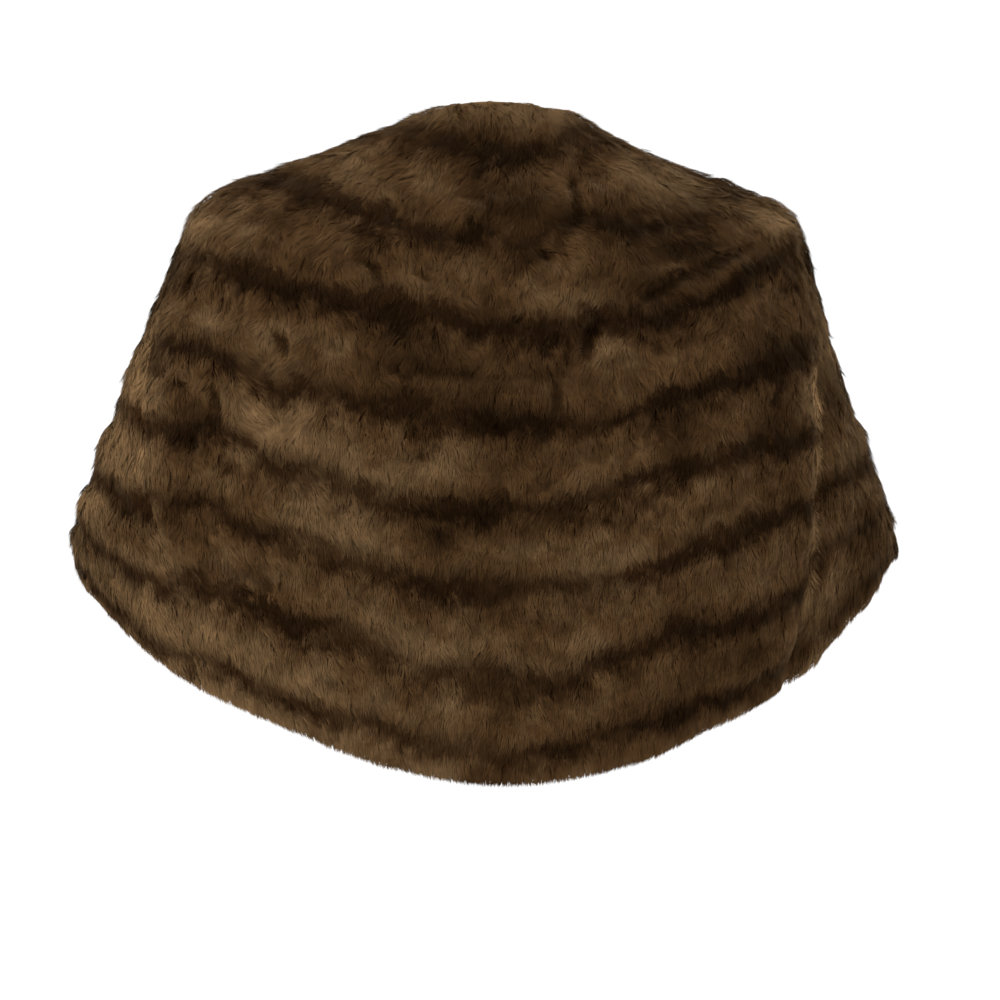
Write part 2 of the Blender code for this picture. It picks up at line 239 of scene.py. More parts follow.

# %% [markdown]
# ## Creases and partings
#
# Some seams crease, and in places the hair parts and shows the underfur, deep in shade. A crease or
# parting is a straight stroke between two places. The surface sinks by the depth, the hair is
# pushed away from the stroke by the parting's strength, and it is painted lighter or darker there:
# painted shade in the partings and creases, and paler hair on ridges and along the turns. The
# large strokes are rows of a table. A loop with a fixed seed adds short partings, most of them in
# the upper half.

# %% Strokes
STROKE_COLUMNS = (
    "from_along", "from_row", "to_along", "to_row", "width", "depth", "parting", "lighter")
STROKES = (
    (0.24, 3.06, -0.26, 3.04, 7, 1.6, 0.5, -0.25), (0.16, 6.78, -0.3, 6.84, 8, 1.6, 0.4, -0.15),
    (-0.41, 0.92, -0.33, 1.36, 7, 4.8, 2.2, -1.3), (-0.44, 2.34, -0.58, 2.2, 7, 4.6, 2.2, -1.3),
    (-0.6, 2.24, -0.77, 2.1, 6.5, 4.4, 2.1, -1.3), (-0.29, 2.48, -0.27, 2.84, 7, 4.6, 2.2, -1.3),
    (-0.18, 3.08, -0.19, 3.34, 6.5, 4.2, 2, -1.1), (0.57, 2.98, 0.53, 3.16, 7, 4.2, 2, -1.1),
    (0.74, 3.78, 0.72, 4.08, 6.5, 3.8, 1.8, -1.1), (0.36, 1.92, 0.3, 2.18, 6.5, 3.6, 1.8, -0.9),
    (-1.1, 1.4, -1.16, 1.46, 9, -5, 0, 0), (-0.98, 1.72, -1.06, 1.8, 9, -5, 0, 0.2),
    (-1.22, 1.02, -1.3, 1.08, 9, -5, 0, 0), (0.66, 5.96, 0.63, 6.22, 6, 2.4, 1, -0.4),
    (-0.985, 3.4, -0.995, 5.2, 5, 1, 1.2, 1.9), (-0.995, 5.2, -1.01, 7, 5, 1, 1.2, 1.5),
    (1.01, 3.8, 1.01, 4.9, 6, 0.6, 0.8, 0.8), (1.34, 2.2, 1.38, 2.7, 6, 3, 1.2, -0.5),
    (1.58, 4.1, 1.66, 4.3, 5, 3, 1.2, -0.5), (1.44, 5.6, 1.47, 6.1, 6, 2.6, 1, -0.4),
    (1.82, 6, 1.86, 6.5, 5, 2.4, 0.9, -0.4), (-1.3, 2.9, -1.36, 3.3, 5, 3, 1.2, -0.5),
    (-1.62, 1.9, -1.7, 2.1, 5, 3, 1.2, -0.5), (-1.5, 4.8, -1.53, 5.4, 6, 2.6, 1, -0.4),
    (-1.84, 5.2, -1.8, 5.6, 5, 2.4, 0.9, -0.4),
)
STROKE_CORE = 0.45      # the part of a stroke's width in which the hair is painted darker or paler
STROKE_ENDS, STROKE_SWELL = 0.55, 0.45   # a stroke's strength at its ends, and more at its middle
SMALL_STROKES = 70
SMALL_STROKE_SEED = 5
SMALL_STROKE_ROWS = (0.5, 1.8, 6.5)      # the first row, the most usual and the last
SMALL_STROKE_ALONG, SMALL_STROKE_REACH = (-1.9, 1.9), (0.03, 0.08)
SMALL_STROKE_SIZES = (  # width, depth, parting and lighter, which is below 0: painted shade in the short partings
    (4.0, 6.5), (1.6, 3.6), (0.9, 1.9), (-0.70, -0.20))
ROWS_FOR_ONE_ALONG = 3.7                 # so that a turned stroke keeps its length


def small_strokes():
    """Rows of the same table for the short partings."""
    lots = np.random.default_rng(SMALL_STROKE_SEED)
    rows = []
    for _ in range(SMALL_STROKES):
        along, row = lots.uniform(*SMALL_STROKE_ALONG), lots.triangular(*SMALL_STROKE_ROWS)
        turn, reach = lots.uniform(0.0, math.pi), lots.uniform(*SMALL_STROKE_REACH)
        to_along = along + reach * math.cos(turn)
        to_row = row + ROWS_FOR_ONE_ALONG * reach * math.sin(turn)
        sizes = [lots.uniform(*limits) for limits in SMALL_STROKE_SIZES]
        rows.append((along, row, to_along, to_row, *sizes))
    return tuple(rows)


ALL_STROKES = rows_of(STROKE_COLUMNS, STROKES + small_strokes())


def stroke_effects(points):
    """How deep the strokes sink the points, the push on the hair there, and how much lighter: painted
    shade in partings and creases.
    """
    depth, lighter = np.zeros(points.shape[:-1]), np.zeros(points.shape[:-1])
    push = np.zeros_like(points)
    for stroke in ALL_STROKES:
        start = place(stroke["from_along"], stroke["from_row"])
        span = place(stroke["to_along"], stroke["to_row"]) - start
        share = np.clip((points - start) @ span / (span @ span), 0.0, 1.0)
        away = points - (start + share[..., None] * span)
        distance = np.linalg.norm(away, axis=-1)
        along_it = STROKE_ENDS + STROKE_SWELL * np.sin(math.pi * share)
        taper = near(distance, stroke["width"]) * along_it
        depth += stroke["depth"] * taper
        push += away / (distance[..., None] + 1.0) * (stroke["parting"] * taper)[..., None]
        # painted shade in partings and creases, and paler hair on ridges and along the turns
        lighter += stroke["lighter"] * near(distance, STROKE_CORE * stroke["width"]) * along_it
    return depth, push, lighter


print("creases and partings:", len(ALL_STROKES))

# %% [markdown]
# ## One grid for every layer
#
# Leather, underfur and hair all follow the same face, so one function gives a grid of it: the
# points, the way out, and how the surface runs along the rows and down them. The wall is 12 mm from
# the combed hair to the leather, and thins to 4 mm at the free edges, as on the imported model.

# %% The face of the fur
WALL = 12.0
EDGE_WALL = 4.0
EDGE_ROUND = 14.0
SEAM_DIP = 2.4
CENTRE_DIP = 0.5
TURN_DIP = {"left": 0.5, "right": 1.4}
DIP_REACH = 9.0
DIP_SHARPNESS = 1.6
SLOPE_STEP = 0.004      # how far apart two places are whose points give a slope

PANELS = tuple((panel, side) for side in ("left", "right") for panel in ("back", "front"))
PANEL_SPAN = {"back": (0.0, 1.0), "front": (1.0, 2.0)}
PANEL_SKINS = {"back": 8, "front": 7}


def skin_rows(panel, rows):
    """Rows counted in skins: the fronts have seven beside the back's eight."""
    return rows * (PANEL_SKINS[panel] / HEM_ROW)


def edge_drop(distance):
    """How much the fur's face drops at this distance from a free edge: a quarter of an ellipse."""
    closeness = np.clip(1.0 - distance / EDGE_ROUND, 0.0, 1.0)
    return (WALL - EDGE_WALL) * (1.0 - np.sqrt(1.0 - closeness**2))


def face_grid(panel, side, along, rows):
    """The fur's face over a grid: a dict of arrays, rows down and places along them across."""
    flip = np.array((1.0 if side == "left" else -1.0, 1.0, 1.0))

    def grid(at_along, at_rows):
        return np.stack([section_points(row, side, at_along) for row in at_rows]) * flip

    points = grid(along, rows)
    ahead_at = np.minimum(along + SLOPE_STEP, 2.0)
    behind_at = np.minimum(along, 2.0) - SLOPE_STEP
    below_at = np.minimum(rows + SLOPE_STEP, HEM_ROW)
    above_at = np.maximum(rows - SLOPE_STEP, 0.0)
    ahead = grid(ahead_at, rows) - grid(behind_at, rows)
    ahead /= (ahead_at - behind_at)[None, :, None]
    down = grid(along, below_at) - grid(along, above_at)
    down /= (below_at - above_at)[:, None, None]
    outward = np.cross(ahead, down) * flip[0]
    outward /= np.linalg.norm(outward, axis=-1, keepdims=True)

    per_along = np.linalg.norm(ahead, axis=-1)
    per_row = np.linalg.norm(down, axis=-1)
    distances = {
        "neck": rows[:, None] * per_row,
        "hem": (HEM_ROW - rows[:, None]) * per_row,
        "centre": along * per_along,
        "turn": np.abs(along - 1.0) * per_along,
        "edge": (2.0 - along) * per_along,
    }
    skin_row = skin_rows(panel, rows)
    seam = SEAM_DIP * (1.0 - np.abs(np.sin(math.pi * skin_row))) ** DIP_SHARPNESS
    lower = np.repeat(seam[:, None], len(along), axis=1)
    lower += TURN_DIP[side] * near(distances["turn"], DIP_REACH)
    lower += CENTRE_DIP * near(distances["centre"], DIP_REACH)
    for name in ("neck", "hem", "edge"):
        lower += edge_drop(distances[name])
    return {
        "panel": panel, "side": side, "along": along, "rows": rows,
        "base": points + outward * fold_height(side, along, rows)[..., None],
        "outward": outward,
        "ahead": ahead / per_along[..., None],
        "down": down / per_row[..., None],
        "lower": np.minimum(lower, WALL - EDGE_WALL),
        "distances": distances,
        "skin_row": np.repeat(skin_row[:, None], len(along), axis=1),
    }


def layer(grid, depth):
    """The grid of points at this depth under the fur's face."""
    return grid["base"] - grid["outward"] * np.asarray(depth)[..., None]


print("panels:", ", ".join(f"{panel} {side}" for panel, side in PANELS))

# %% [markdown]
# ## Closed walls
#
# Leather and underfur are both thin walls between two grids, closed all round, as anything is that
# can be held. A solid modifier could thicken one grid, but here both faces have a shape of their
# own. Sewn pieces lie a hair's breadth apart, so the leather is drawn in a little at its sides.

# %% A wall between two grids
SEAM_GAP = 0.3
SHARP_ANGLE = math.radians(50)


def draw_in(grid):
    """Moves the sides of a grid in by half a seam's gap."""
    drawn = grid.copy()
    for edge, beside in ((0, 1), (-1, -2)):
        step = grid[:, beside] - grid[:, edge]
        length = np.linalg.norm(step, axis=-1, keepdims=True)
        drawn[:, edge] += step / length * (SEAM_GAP / 2)
    return drawn


def grid_faces(down, across):
    """The quads of a grid, as an array of point numbers."""
    numbers = np.arange(down * across).reshape(down, across)
    corners = (numbers[:-1, :-1], numbers[1:, :-1], numbers[1:, 1:], numbers[:-1, 1:])
    return np.stack([corner.ravel() for corner in corners], axis=1)


def add_object(name, data):
    """Puts a mesh, lamp or camera into the scene."""
    added = bpy.data.objects.new(name, data)
    bpy.context.scene.collection.objects.link(added)
    return added


def add_mesh(name, side, points, faces):
    """A mesh from points in millimetres. The left is a mirror image, so its faces are turned."""
    mesh = bpy.data.meshes.new(name)
    faces = faces[:, ::-1] if side == "left" else faces
    mesh.from_pydata((points.reshape(-1, 3) * MM).tolist(), [], faces.tolist())
    return add_object(name, mesh)


def add_wall(name, side, outer, inner):
    """One closed mesh between an outer and an inner grid."""
    down, across = outer.shape[:2]
    count = down * across
    front = grid_faces(down, across)
    numbers = np.arange(count).reshape(down, across)
    rim = np.concatenate((numbers[0, :-1], numbers[:-1, -1], numbers[-1, :0:-1], numbers[:0:-1, 0]))
    following = np.roll(rim, -1)
    sides = np.stack((rim, following, following + count, rim + count), axis=1)
    faces = np.concatenate((front, front[:, ::-1] + count, sides))
    wall = add_mesh(name, side, np.stack((outer, inner)), faces)
    wall.data.shade_smooth()
    wall.data.set_sharp_from_angle(angle=SHARP_ANGLE)
    return wall


def keep_values(mesh, values, faces=1):
    """Stores grids of numbers or vectors on the points, under names that node trees can read."""
    for name, grid in values.items():
        kind, field = ("FLOAT", "value") if grid.ndim == 2 else ("FLOAT_VECTOR", "vector")
        attribute = mesh.attributes.new(name, kind, "POINT")
        attribute.data.foreach_set(field, np.tile(grid.ravel(), faces).astype(np.float32))


print("a grid of 3 by 4 points has", len(grid_faces(3, 4)), "quads")

# %% [markdown]
# ## Writing node trees as sums
#
# A tree of maths nodes is hard to read back, so a wire between nodes is wrapped in a small class.
# Adding or multiplying two wires adds the Math node that does it. Every other node comes from one
# method, which takes the node's type, its settings, and what goes into its sockets. The same class
# serves materials and geometry.

# %% Wires and trees
def maths(operation, wire_last=False):
    """An operator for wires that adds one Math node."""
    def operator(wire, other):
        first, second = (other, wire) if wire_last else (wire, other)
        return wire.tree.node("ShaderNodeMath", {"operation": operation}, {0: first, 1: second})
    return operator


class Wire:
    """A node's output that can be used in a sum."""

    def __init__(self, tree, socket):
        self.tree = tree
        self.socket = socket

    def __abs__(self):
        return self.tree.node("ShaderNodeMath", {"operation": "ABSOLUTE"}, {0: self})

    __add__ = __radd__ = maths("ADD")
    __mul__ = __rmul__ = maths("MULTIPLY")
    __sub__, __rsub__ = maths("SUBTRACT"), maths("SUBTRACT", wire_last=True)
    __truediv__, __rtruediv__ = maths("DIVIDE"), maths("DIVIDE", wire_last=True)


class Tree:
    """A node tree being written."""

    def __init__(self, tree):
        self.tree = tree

    def feed(self, node, inputs):
        """Gives a node's sockets their values or wires."""
        for name, value in inputs.items():
            if isinstance(value, Wire):
                self.tree.links.new(value.socket, node.inputs[name])
            else:
                node.inputs[name].default_value = value

    def node(self, kind, settings=None, inputs=None, output=0):
        """Adds a node, sets it up, feeds it, and gives back one of its outputs."""
        added = self.tree.nodes.new(kind)
        for name, value in (settings or {}).items():
            setattr(added, name, value)
        self.feed(added, inputs or {})
        return Wire(self, added.outputs[output])

    def here(self):
        """The place on the piece, in metres."""
        return self.node("ShaderNodeTexCoord", output="Object")

    def value(self, name):
        """A named value that the mesh carries, as a material reads it."""
        return self.node("ShaderNodeAttribute", {"attribute_name": name}, output="Fac")

    def fraction(self, value):
        """What is left of a number without its whole part."""
        return self.node("ShaderNodeMath", {"operation": "FRACT"}, {0: value})

    def smooth(self, value, low, high):
        """0 below low, 1 above high, and a soft slope between."""
        return self.node(
            "ShaderNodeMapRange", {"interpolation_type": "SMOOTHSTEP"},
            {"Value": value, "From Min": low, "From Max": high})

    def noise(self, position, size, detail=2.0, roughness=0.5):
        """A cloudy number from 0 to 1, whose clouds are about this many metres across."""
        return self.node(
            "ShaderNodeTexNoise", {},
            {"Vector": position, "Scale": 1.0 / size, "Detail": detail, "Roughness": roughness})

    def mix(self, factor, first, second):
        """Mixes two colours."""
        return self.node(
            "ShaderNodeMix", {"data_type": "RGBA"}, {0: factor, 6: first, 7: second}, output=2)

    def vector(self, operation, first, *second):
        """Vector maths on one or two vectors."""
        return self.node(
            "ShaderNodeVectorMath", {"operation": operation}, dict(enumerate((first, *second))))

    def scaled(self, vector, by):
        """A vector or colour times a number."""
        return self.node("ShaderNodeVectorMath", {"operation": "SCALE"}, {0: vector, "Scale": by})


def new_material(name, constants):
    """A material's tree and its Principled shader, whose sockets take these constants."""
    material = bpy.data.materials.new(name)
    material.use_nodes = True
    material.node_tree.nodes.clear()
    tree = Tree(material.node_tree)
    surface = tree.node("ShaderNodeBsdfPrincipled", {}, constants)
    output = material.node_tree.nodes.new("ShaderNodeOutputMaterial")
    tree.feed(output, {"Surface": surface})
    return material, tree, surface.socket.node


print("nodes can now be written as sums")

# %% [markdown]
# ## The leather
#
# Under the fur lies the skin side, dressed to a soft brown suede. The photograph doesn't show it,
# so it is finished plainly: a wall 1.5 mm thick that follows the broad folds, a little inside the
# fur's edges. Its seams are read from the skins' row numbers, so they fall where the skins meet.

# %% Leather walls
HIDE_THICKNESS = 1.5
NECK_INSET = 0.01       # rows between the fur's edge and the leather's, at the neck
HEM_INSET = 0.06        # and at the hem
FRONT_INSET = 0.02      # the same at the front edges, as a share of a front's length
HIDE_ROWS = 49
HIDE_STEPS = {"back": 29, "front": 37}


def panel_grid(panel, side, down, across, first=NECK_INSET, last=HEM_ROW - HEM_INSET):
    """A grid of one panel between two rows, inside the fur's free edges."""
    start, end = PANEL_SPAN[panel]
    end -= FRONT_INSET if panel == "front" else 0.0
    return face_grid(panel, side, np.linspace(start, end, across), np.linspace(first, last, down))


hides = {}
for panel, side in PANELS:
    grid = panel_grid(panel, side, HIDE_ROWS, HIDE_STEPS[panel])
    outer, inner = (draw_in(layer(grid, depth)) for depth in (WALL - HIDE_THICKNESS, WALL))
    hide = add_wall(f"hide_{panel}_{side}", side, outer, inner)
    keep_values(hide.data, {"skin_row": grid["skin_row"]}, faces=2)
    hides[panel, side] = hide
print("leather:", {hide.name: len(hide.data.polygons) for hide in hides.values()}, "faces")

# %% [markdown]
# ## Where the stripes run
#
# Each row's dark spine wanders a little up and down, as the skins did on the table, and it is
# darker in one place than in another. Both are given at six places along each row of the back and
# four along each row of the fronts, and read as smooth curves.

# %% Wander and darkness of the spines
HUNDREDTH = 100.0       # both tables hold hundredths: the wander of a row, the darkness of 1
SPINE_PLACES = {"back": (0.0, 0.2, 0.4, 0.6, 0.8, 1.0), "front": (1.0, 1.25, 1.5, 2.0)}
WANDER = {
    ("back", "left"): (
        (13, 2, 4, 0, 0, 0), (7, 16, 7, 1, -5, 0), (16, 0, 13, 12, 23, 15), (10, 2, 18, 15, 6, 21),
        (20, 22, 13, 4, -10, 13), (2, 5, 3, -2, -10, 2), (4, 11, -9, -6, 4, 10),
        (17, 1, 1, 8, 7, 5),
    ),
    ("back", "right"): (
        (13, 18, 21, 4, 0, 0), (7, 9, 4, 19, 26, 8), (9, 15, 3, 32, -2, -4),
        (7, 22, 28, 22, 12, 12), (16, 14, 9, 3, 10, 21), (3, 7, 15, -5, -4, -4),
        (8, 20, 5, -10, 8, 9), (15, 8, -6, -5, 8, -2),
    ),
    ("front", "left"): (
        (-8, -6, 2, 4), (-18, -18, -4, 0), (-26, -10, 6, -5), (44, 30, 8, 0), (44, 34, 2, 6),
        (42, 40, 10, -2), (20, 16, 6, 0),
    ),
    ("front", "right"): (
        (-5, 4, 0, 3), (-16, -5, 6, 0), (-20, -4, -6, 5), (5, 10, 0, -4), (24, 18, -2, 0),
        (-14, -10, 4, 6), (-5, 2, 8, 0),
    ),
}
DARKNESS = {
    ("back", "left"): (
        (100, 95, 80, 65, 60, 60), (85, 105, 135, 125, 120, 95), (100, 120, 125, 125, 100, 95),
        (100, 105, 80, 90, 100, 120), (115, 95, 70, 75, 105, 105), (90, 100, 75, 100, 80, 65),
        (55, 65, 80, 125, 105, 75), (60, 70, 70, 95, 90, 70),
    ),
    ("back", "right"): (
        (100, 105, 80, 65, 70, 90), (80, 75, 95, 100, 85, 95), (95, 110, 110, 115, 105, 90),
        (100, 100, 110, 125, 120, 125), (105, 80, 95, 120, 120, 110), (90, 75, 90, 115, 120, 100),
        (65, 85, 105, 120, 110, 100), (60, 80, 90, 110, 100, 90),
    ),
    ("front", "left"): (
        (80, 90, 95, 90), (85, 90, 80, 90), (120, 90, 95, 85), (125, 40, 85, 95),
        (110, 100, 80, 90), (85, 90, 95, 85), (80, 85, 90, 90),
    ),
    ("front", "right"): (
        (85, 90, 80, 90), (90, 80, 95, 90), (95, 90, 85, 95), (45, 80, 95, 85), (115, 105, 80, 90),
        (60, 55, 80, 95), (70, 60, 85, 85),
    ),
}
PAST_LAST_SEAM = 0.2    # how far on a skin's number may run at the hem


def along_spines(table, grid):
    """A hand-made table of the spines, read as smooth curves: a row for each spine."""
    places = SPINE_PLACES[grid["panel"]]
    rows = np.array(table[grid["panel"], grid["side"]]) / HUNDREDTH
    return np.stack([steady_curve(places, row, grid["along"]) for row in rows])


def skin_number(grid, above=0.0):
    """Which skin a place is on and where on it: a whole number at a seam, a half at the spine."""
    skins = PANEL_SKINS[grid["panel"]]
    number = skin_rows(grid["panel"], grid["rows"] + above)
    spines = np.arange(skins) + 0.5
    wander = [np.interp(number, spines, column) for column in along_spines(WANDER, grid).T]
    return np.minimum(number[:, None] - np.stack(wander, axis=1), skins + PAST_LAST_SEAM)


def spine_darkness(grid, number):
    """How dark the nearest spine is, at each place of a grid of skin numbers."""
    nearest = np.clip(np.floor(number).astype(int), 0, PANEL_SKINS[grid["panel"]] - 1)
    return np.take_along_axis(along_spines(DARKNESS, grid), nearest, axis=0)


print("spines:", sum(len(rows) for rows in WANDER.values()))

# %% [markdown]
# ## Tufts
#
# Fur doesn't lie like cloth. Along every skin it stands in soft tufts, two to five centimetres
# wide, which bulge over the dark stripe below them. Each tuft is lighter or darker over its crown:
# painted light on the bulge, and the tuft's own tone. Nobody could place hundreds of them by hand,
# so a loop sets them side by side along each skin with a fixed seed.

# %% Tufts along the skins
TUFT_SEEDS = dict(zip(PANELS, (3, 15, 8, 21)))
TUFT_PLACE = 0.04       # where on a skin its tufts are centred, in rows past the seam
TUFT_WANDER = 0.13
TUFT_HALF_WIDTH = (13.0, 27.0)
TUFT_HALF_ROWS = (0.16, 0.30)
TUFT_HEIGHT = (1.6, 4.8)
# how much lighter a tuft is over its crown: its own tone and painted light on the bulge
TUFT_TONE_AND_LIGHT = (-0.18, 0.38)
TUFT_STEP = (1.25, 2.0)     # from one tuft to the next, in half widths
TUFT_START, TUFT_END = 25.0, 20.0   # how far past a panel's sides the first and last tuft may lie
TUFT_STEEPER_BELOW = 0.70
TUFT_SHARPNESS = 1.4


@lru_cache(maxsize=None)
def tufts_of(panel, side):
    """Each tuft of one panel: distance along, skin, half width, half rows, height, and lightness,
    which is its own tone and painted light.
    """
    lots = np.random.default_rng(TUFT_SEEDS[panel, side])
    found = []
    for skin in range(PANEL_SKINS[panel] + 1):
        row = min(skin / skin_rows(panel, 1), HEM_ROW)
        first, last = distance_along(row, side, np.array(PANEL_SPAN[panel]))
        at = first - lots.uniform(0.0, TUFT_START)
        while at < last + TUFT_END:
            half_width = lots.uniform(*TUFT_HALF_WIDTH)
            middle = skin + TUFT_PLACE + lots.uniform(-TUFT_WANDER, TUFT_WANDER)
            sizes = [lots.uniform(*limits) for limits in (TUFT_HALF_ROWS, TUFT_HEIGHT, TUFT_TONE_AND_LIGHT)]
            found.append((at, middle, half_width, *sizes))
            at += half_width * lots.uniform(*TUFT_STEP)
    return np.array(found)


def tuft_effects(grid, number):
    """How far the tufts lift the fur, how much lighter their tone and painted light make it, and how
    they fan it out.
    """
    panel, side = grid["panel"], grid["side"]
    at = np.stack([distance_along(row, side, grid["along"]) for row in grid["rows"]])
    lift, lighter, fan = (np.zeros(number.shape) for _ in range(3))
    for middle, skin_place, half_width, half_rows, height, tuft_tone_and_light in tufts_of(panel, side):
        across = (at - middle) / half_width
        down = (number - skin_place) / half_rows
        down = np.where(down > 0.0, down / TUFT_STEEPER_BELOW, down)
        swell = np.exp(-((across**2 + down**2) ** TUFT_SHARPNESS))
        lift += height * swell
        # painted light on each bulge, with the tuft's own tone
        lighter += tuft_tone_and_light * swell
        fan += across * swell
    return lift, lighter, fan


print("tufts:", sum(len(tufts_of(*panel)) for panel in PANELS))

# %% [markdown]
# ## Patches of tone and painted light
#
# No two skins match, and the light catches the fur unevenly. Patches make the hair lighter or
# darker there: some give the skins' own tone, and some are painted light and shade, such as lit
# edges at the turns over the arms, lit shoulders and shade in folds and cracks. Some of them make
# its tufts wilder. A patch is an ellipse with a soft edge: its place, half its width and height in
# millimetres, how much lighter it is, and, where there is a last number, how much wilder.

# %% Tone of the hair, with painted light and shade
PATCH_COLUMNS = ("along", "row", "half_width", "half_height", "lighter", "wilder")
# the skins' own tone, and painted light and shade: lit edges at the turns, lit shoulders, shade in
# folds and cracks
TONE_AND_LIGHT_PATCHES = (
    (0.8, 2.9, 60, 50, 0, 0.9), (0.6, 3.3, 60, 50, -0.06, 0.8), (0.56, 4, 32, 24, 0.34, 0.6),
    (0.71, 4, 22, 22, -0.34), (0.9, 6, 24, 30, -0.38), (0.14, 4.6, 40, 24, -0.24),
    (-0.1, 3.4, 36, 20, -0.3), (-0.52, 3.65, 26, 30, -0.28), (-0.48, 1.9, 36, 22, -0.3),
    (-0.15, 0.65, 34, 24, -0.28), (-0.8, 4.05, 24, 20, -0.28), (0.4, 1.65, 24, 16, 0.3),
    (-0.04, 1.35, 24, 20, 0.36), (-1.04, 7.4, 26, 30, 0.35), (0.4, 7.85, 80, 16, 0.4),
    (-0.285, 5.25, 24, 40, 0.22), (0.09, 5.5, 22, 14, 0.28), (1.25, 2.65, 30, 26, 0.4),
    (0.62, 1.15, 26, 18, 0.32), (-0.98, 1.95, 34, 26, 0.48), (-0.98, 4.05, 20, 24, 0.42),
    (-0.02, 7.9, 24, 14, -0.4), (1.02, 5.4, 26, 60, 0.3), (0.58, 3.5, 32, 46, 0.44, 0.2),
    (0.55, 4.6, 40, 24, 0.2, 0.4), (0.85, 5.1, 50, 30, -0.12), (1.14, 5, 50, 120, 0.8),
    (1.02, 4, 30, 50, 0.72), (1.02, 6.6, 30, 46, 0.7), (0.78, 3.9, 22, 28, -0.34),
    (0.96, 2.15, 32, 30, 0.52), (0.14, 3.55, 36, 16, 0.22), (-0.65, 4.33, 22, 18, 0.56),
    (-0.67, 5.33, 22, 18, 0.52), (-0.53, 5.85, 24, 18, -0.26), (-1, 6.5, 18, 22, -0.34),
    (0.62, 4.1, 30, 22, 0.28), (0.5, 2.6, 40, 16, -0.3), (0.15, 4.9, 36, 18, -0.36),
    (0.14, 6.2, 40, 18, 0.34), (-0.3, 2.35, 26, 14, 0.34), (-0.22, 1, 24, 22, -0.26),
    (0.92, 2.2, 34, 36, 0.3, 0.2), (0.36, 4.9, 56, 44, 0.4, 0.1), (0.2, 4, 38, 26, 0.28, 0.1),
    (0.4, 6.5, 100, 24, 0.28), (0.78, 7.7, 70, 36, 0.56), (0.3, 1.4, 70, 40, -0.12, 0.3),
    (0.36, 1.4, 30, 20, 0.26, 0.2), (0.16, 1, 24, 24, 0.3, 0.2), (-0.08, 1, 30, 34, -0.44, 0.2),
    (0.1, 3, 80, 26, -0.26), (0, 1.4, 120, 34, -0.12, 0.2), (-0.4, 1, 50, 50, 0, 0.6),
    (-0.8, 1.3, 36, 26, 0.36, 0.2), (-0.92, 2, 30, 30, 0.26, 0.2),
    (-0.58, 2.1, 70, 40, -0.44, 0.5), (-0.35, 2.6, 36, 34, 0.2, 0.4),
    (-0.55, 3.1, 34, 34, -0.22, 0.2), (-0.8, 3.2, 40, 50, -0.28), (-0.53, 4, 36, 20, -0.48),
    (-0.8, 4.2, 60, 80, -0.14), (-0.38, 5.2, 46, 28, 0.34), (-0.25, 6.4, 40, 18, 0.26),
    (0, 4, 80, 40, -0.1), (0.15, 7.1, 90, 26, 0.06), (-0.5, 6.9, 90, 40, -0.16),
    (-1.18, 5.2, 44, 80, 0.3), (-1.3, 4.85, 46, 46, 1), (-1.1, 3.2, 40, 46, 0.4),
    (-1.18, 6.7, 42, 40, -0.5), (-1.1, 4.1, 30, 30, 0.3), (0.28, 2.95, 80, 16, -0.26),
    (1.02, 7.4, 34, 22, 0.4), (-0.7, 1.5, 30, 24, 0.36), (-1.14, 3.7, 26, 30, 0.5),
    (1.5, 3, 80, 70, 0.12, 0.5), (-1.6, 3.6, 80, 70, 0.08, 0.4),
)
PATCH_STRENGTH = 1.15   # one number for all the patches of tone and painted light
NECK_LIGHTER = 0.90
NECK_FADE = 16.0        # millimetres from the neck edge over which that fades
CENTRE_DARKER = 0.30
CENTRE_REACH = 13.0
USUAL_WILDNESS = 0.75
TONE_OUTSIDE_TUFTS = 0.84
DARKEST_TONE = 0.25
ROOT_ABOVE = 0.20       # a strand shows lower than its root, by this part of a row


def patch_effects(points):
    """How much lighter the patches make the hair, and how much wilder its tufts."""
    lighter = np.zeros(points.shape[:-1])
    wilder = np.full(points.shape[:-1], USUAL_WILDNESS)
    for patch in rows_of(PATCH_COLUMNS, TONE_AND_LIGHT_PATCHES):
        away = points - place(patch["along"], patch["row"])
        wide = np.hypot(away[..., 0], away[..., 1]) / patch["half_width"]
        high = away[..., 2] / patch["half_height"]
        strength = np.exp(-(wide**2) - high**2)
        lighter += PATCH_STRENGTH * patch["lighter"] * strength
        wilder += patch["wilder"] * strength
    return lighter, wilder


def tone_and_painted_light(grid):
    """How light the hair is at each place of a grid, 1 being usual: its own tone with painted light
    and shade.
    """
    points, distances = grid["base"], grid["distances"]
    _, tufts_lighter, _ = tuft_effects(grid, skin_number(grid, ROOT_ABOVE))
    lighter, wilder = patch_effects(points)
    # the skins' own tone with painted light and shade from the patches, the tufts' crowns and the
    # strokes
    total = TONE_OUTSIDE_TUFTS + lighter + wilder * tufts_lighter
    total += stroke_effects(points)[2]
    total += NECK_LIGHTER * np.exp(-distances["neck"] / NECK_FADE)
    near_spine = np.abs(np.sin(math.pi * (grid["rows"] + ROOT_ABOVE)))[:, None] ** 3
    total -= CENTRE_DARKER * near_spine * near(distances["centre"], CENTRE_REACH)
    return np.maximum(total, DARKEST_TONE)


def coat_values(grid, below=0.0):
    """What the coat's colour needs. The hair's is read where it shows, below its root."""
    number = skin_number(grid, below)
    return {"band": number, "darkness": spine_darkness(grid, number), "tone_and_painted_light": tone_and_painted_light(grid)}


print("patches of tone:", len(TONE_AND_LIGHT_PATCHES))

# %% [markdown]
# ## The underfur
#
# Mink has a dense woolly coat under its guard hair. It fills the space between the strands and
# shows as the dark in every parting. Here it is a wall on the leather, with the dips at the seams,
# the tufts and the creases in its face, and a low unevenness of its own, because dense fur bunches.

